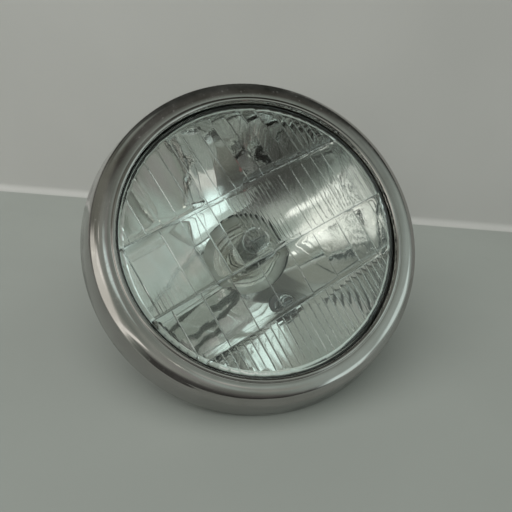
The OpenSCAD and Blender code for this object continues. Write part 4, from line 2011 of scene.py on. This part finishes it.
    def world(self) -> None:
        """Builds the surroundings: a dim ceiling, paler walls, a dark far side and the soft panels."""
        world = bpy.data.worlds.new("surroundings")
        bpy.context.scene.world = world
        world.use_nodes = True
        w = Wiring(world.node_tree)
        direction = w.add("ShaderNodeTexCoord").outputs["Generated"]
        height = w.dot(direction, tuple(Table.UP))
        ahead = w.dot(direction, tuple(Table.AHEAD))
        colour = w.mix(w.remap(height, -0.1, 0.15), self.low_walls, self.high_walls)
        overhead = w.calc("MULTIPLY", w.remap(height, 0.3, 0.7), w.remap(ahead, -0.9, 0.2, 0.5, 1.0))
        colour = w.mix(overhead, colour, self.ceiling)
        colour = w.mix(w.remap(ahead, 0.05, 0.5), colour, self.far_side)
        for panel in self.panels:
            centre = Table.direction(panel.azimuth, panel.elevation)
            level = centre.cross(Table.UP).normalized()
            upward = level.cross(centre)
            lean = Matrix.Rotation(math.radians(panel.tilt), 3, centre)
            mask = w.effect(
                Effect.PANEL,
                Direction=direction,
                Centre=tuple(centre),
                Across=tuple(lean @ level),
                Upward=tuple(lean @ upward),
                Half_Width=math.tan(math.radians(panel.half_width)),
                Half_Height=math.tan(math.radians(panel.half_height)),
                Softness=panel.softness,
            ).outputs[0]
            colour = w.mix(mask, colour, panel.tone.value)
        shown = w.add("ShaderNodeBackground", {"Color": colour, "Strength": 1.0})
        plain = w.add("ShaderNodeBackground", {"Color": self.backdrop, "Strength": 1.0})
        seen = w.add("ShaderNodeLightPath").outputs["Is Camera Ray"]
        both = w.add("ShaderNodeMixShader", {0: seen, 1: shown.outputs[0], 2: plain.outputs[0]})
        w.add("ShaderNodeOutputWorld", {"Surface": both.outputs[0]})

    def soft_light(self, name: str, place: Vector, size: float, power: float) -> None:
        """Hangs a large soft light that the metal doesn't mirror.

        Args:
            name: the light's name.
            place: where it hangs; it faces the lamp.
            size: its width, in metres.
            power: its power, in watts.
        """
        data = bpy.data.lights.new(name, "AREA")
        data.shape = "DISK"
        data.size = size
        data.energy = power
        light = placed(name, data)
        light.location = place
        light.rotation_mode = "QUATERNION"
        light.rotation_quaternion = (-place).to_track_quat("-Z", "Y")
        light.visible_glossy = False
        light.visible_transmission = False
        light.visible_camera = False

    def camera(self) -> None:
        """Places the camera where the photograph was taken from."""
        data = bpy.data.cameras.new("photo_camera")
        data.lens = self.lens_mm
        data.sensor_width = self.sensor_mm
        data.clip_start = 0.01
        camera = placed("photo_camera", data)
        a, e = math.radians(self.camera_azimuth), math.radians(self.camera_elevation)
        back = Vector((math.sin(a) * math.cos(e), -math.cos(a) * math.cos(e), math.sin(e)))
        right = Vector((0, 0, 1)).cross(back).normalized()
        upright = Matrix((right, back.cross(right), back)).transposed()
        roll = Matrix.Rotation(math.radians(self.camera_roll), 3, "Z")
        camera.matrix_world = Matrix.Translation(self.camera_place) @ (upright @ roll).to_4x4()
        bpy.context.scene.camera = camera

    def build(self) -> None:
        """Builds the whole studio."""
        self.camera()
        self.sweep()
        self.world()
        self.soft_light("overhead", Table.point(-0.3, -0.5, 1.1), 1.8, 18)
        self.soft_light("fill_behind", Table.point(0.2, 0.5, -1.0), 1.2, 8)
        bpy.context.scene.view_settings.view_transform = "Standard"


def main() -> None:
    """Builds every sub-assembly in order."""
    logging.basicConfig(level=logging.INFO, format="%(name)s: %(message)s")
    finishes = Finishes()
    for assembly in (Rim, AimScrew, UnitRing, Lens, Reflector, Bulb, RearGear, PilotLamp):
        log.info("building %s", assembly.__name__)
        assembly(finishes).build()
    Studio().build()


if __name__ == "__main__":
    main()
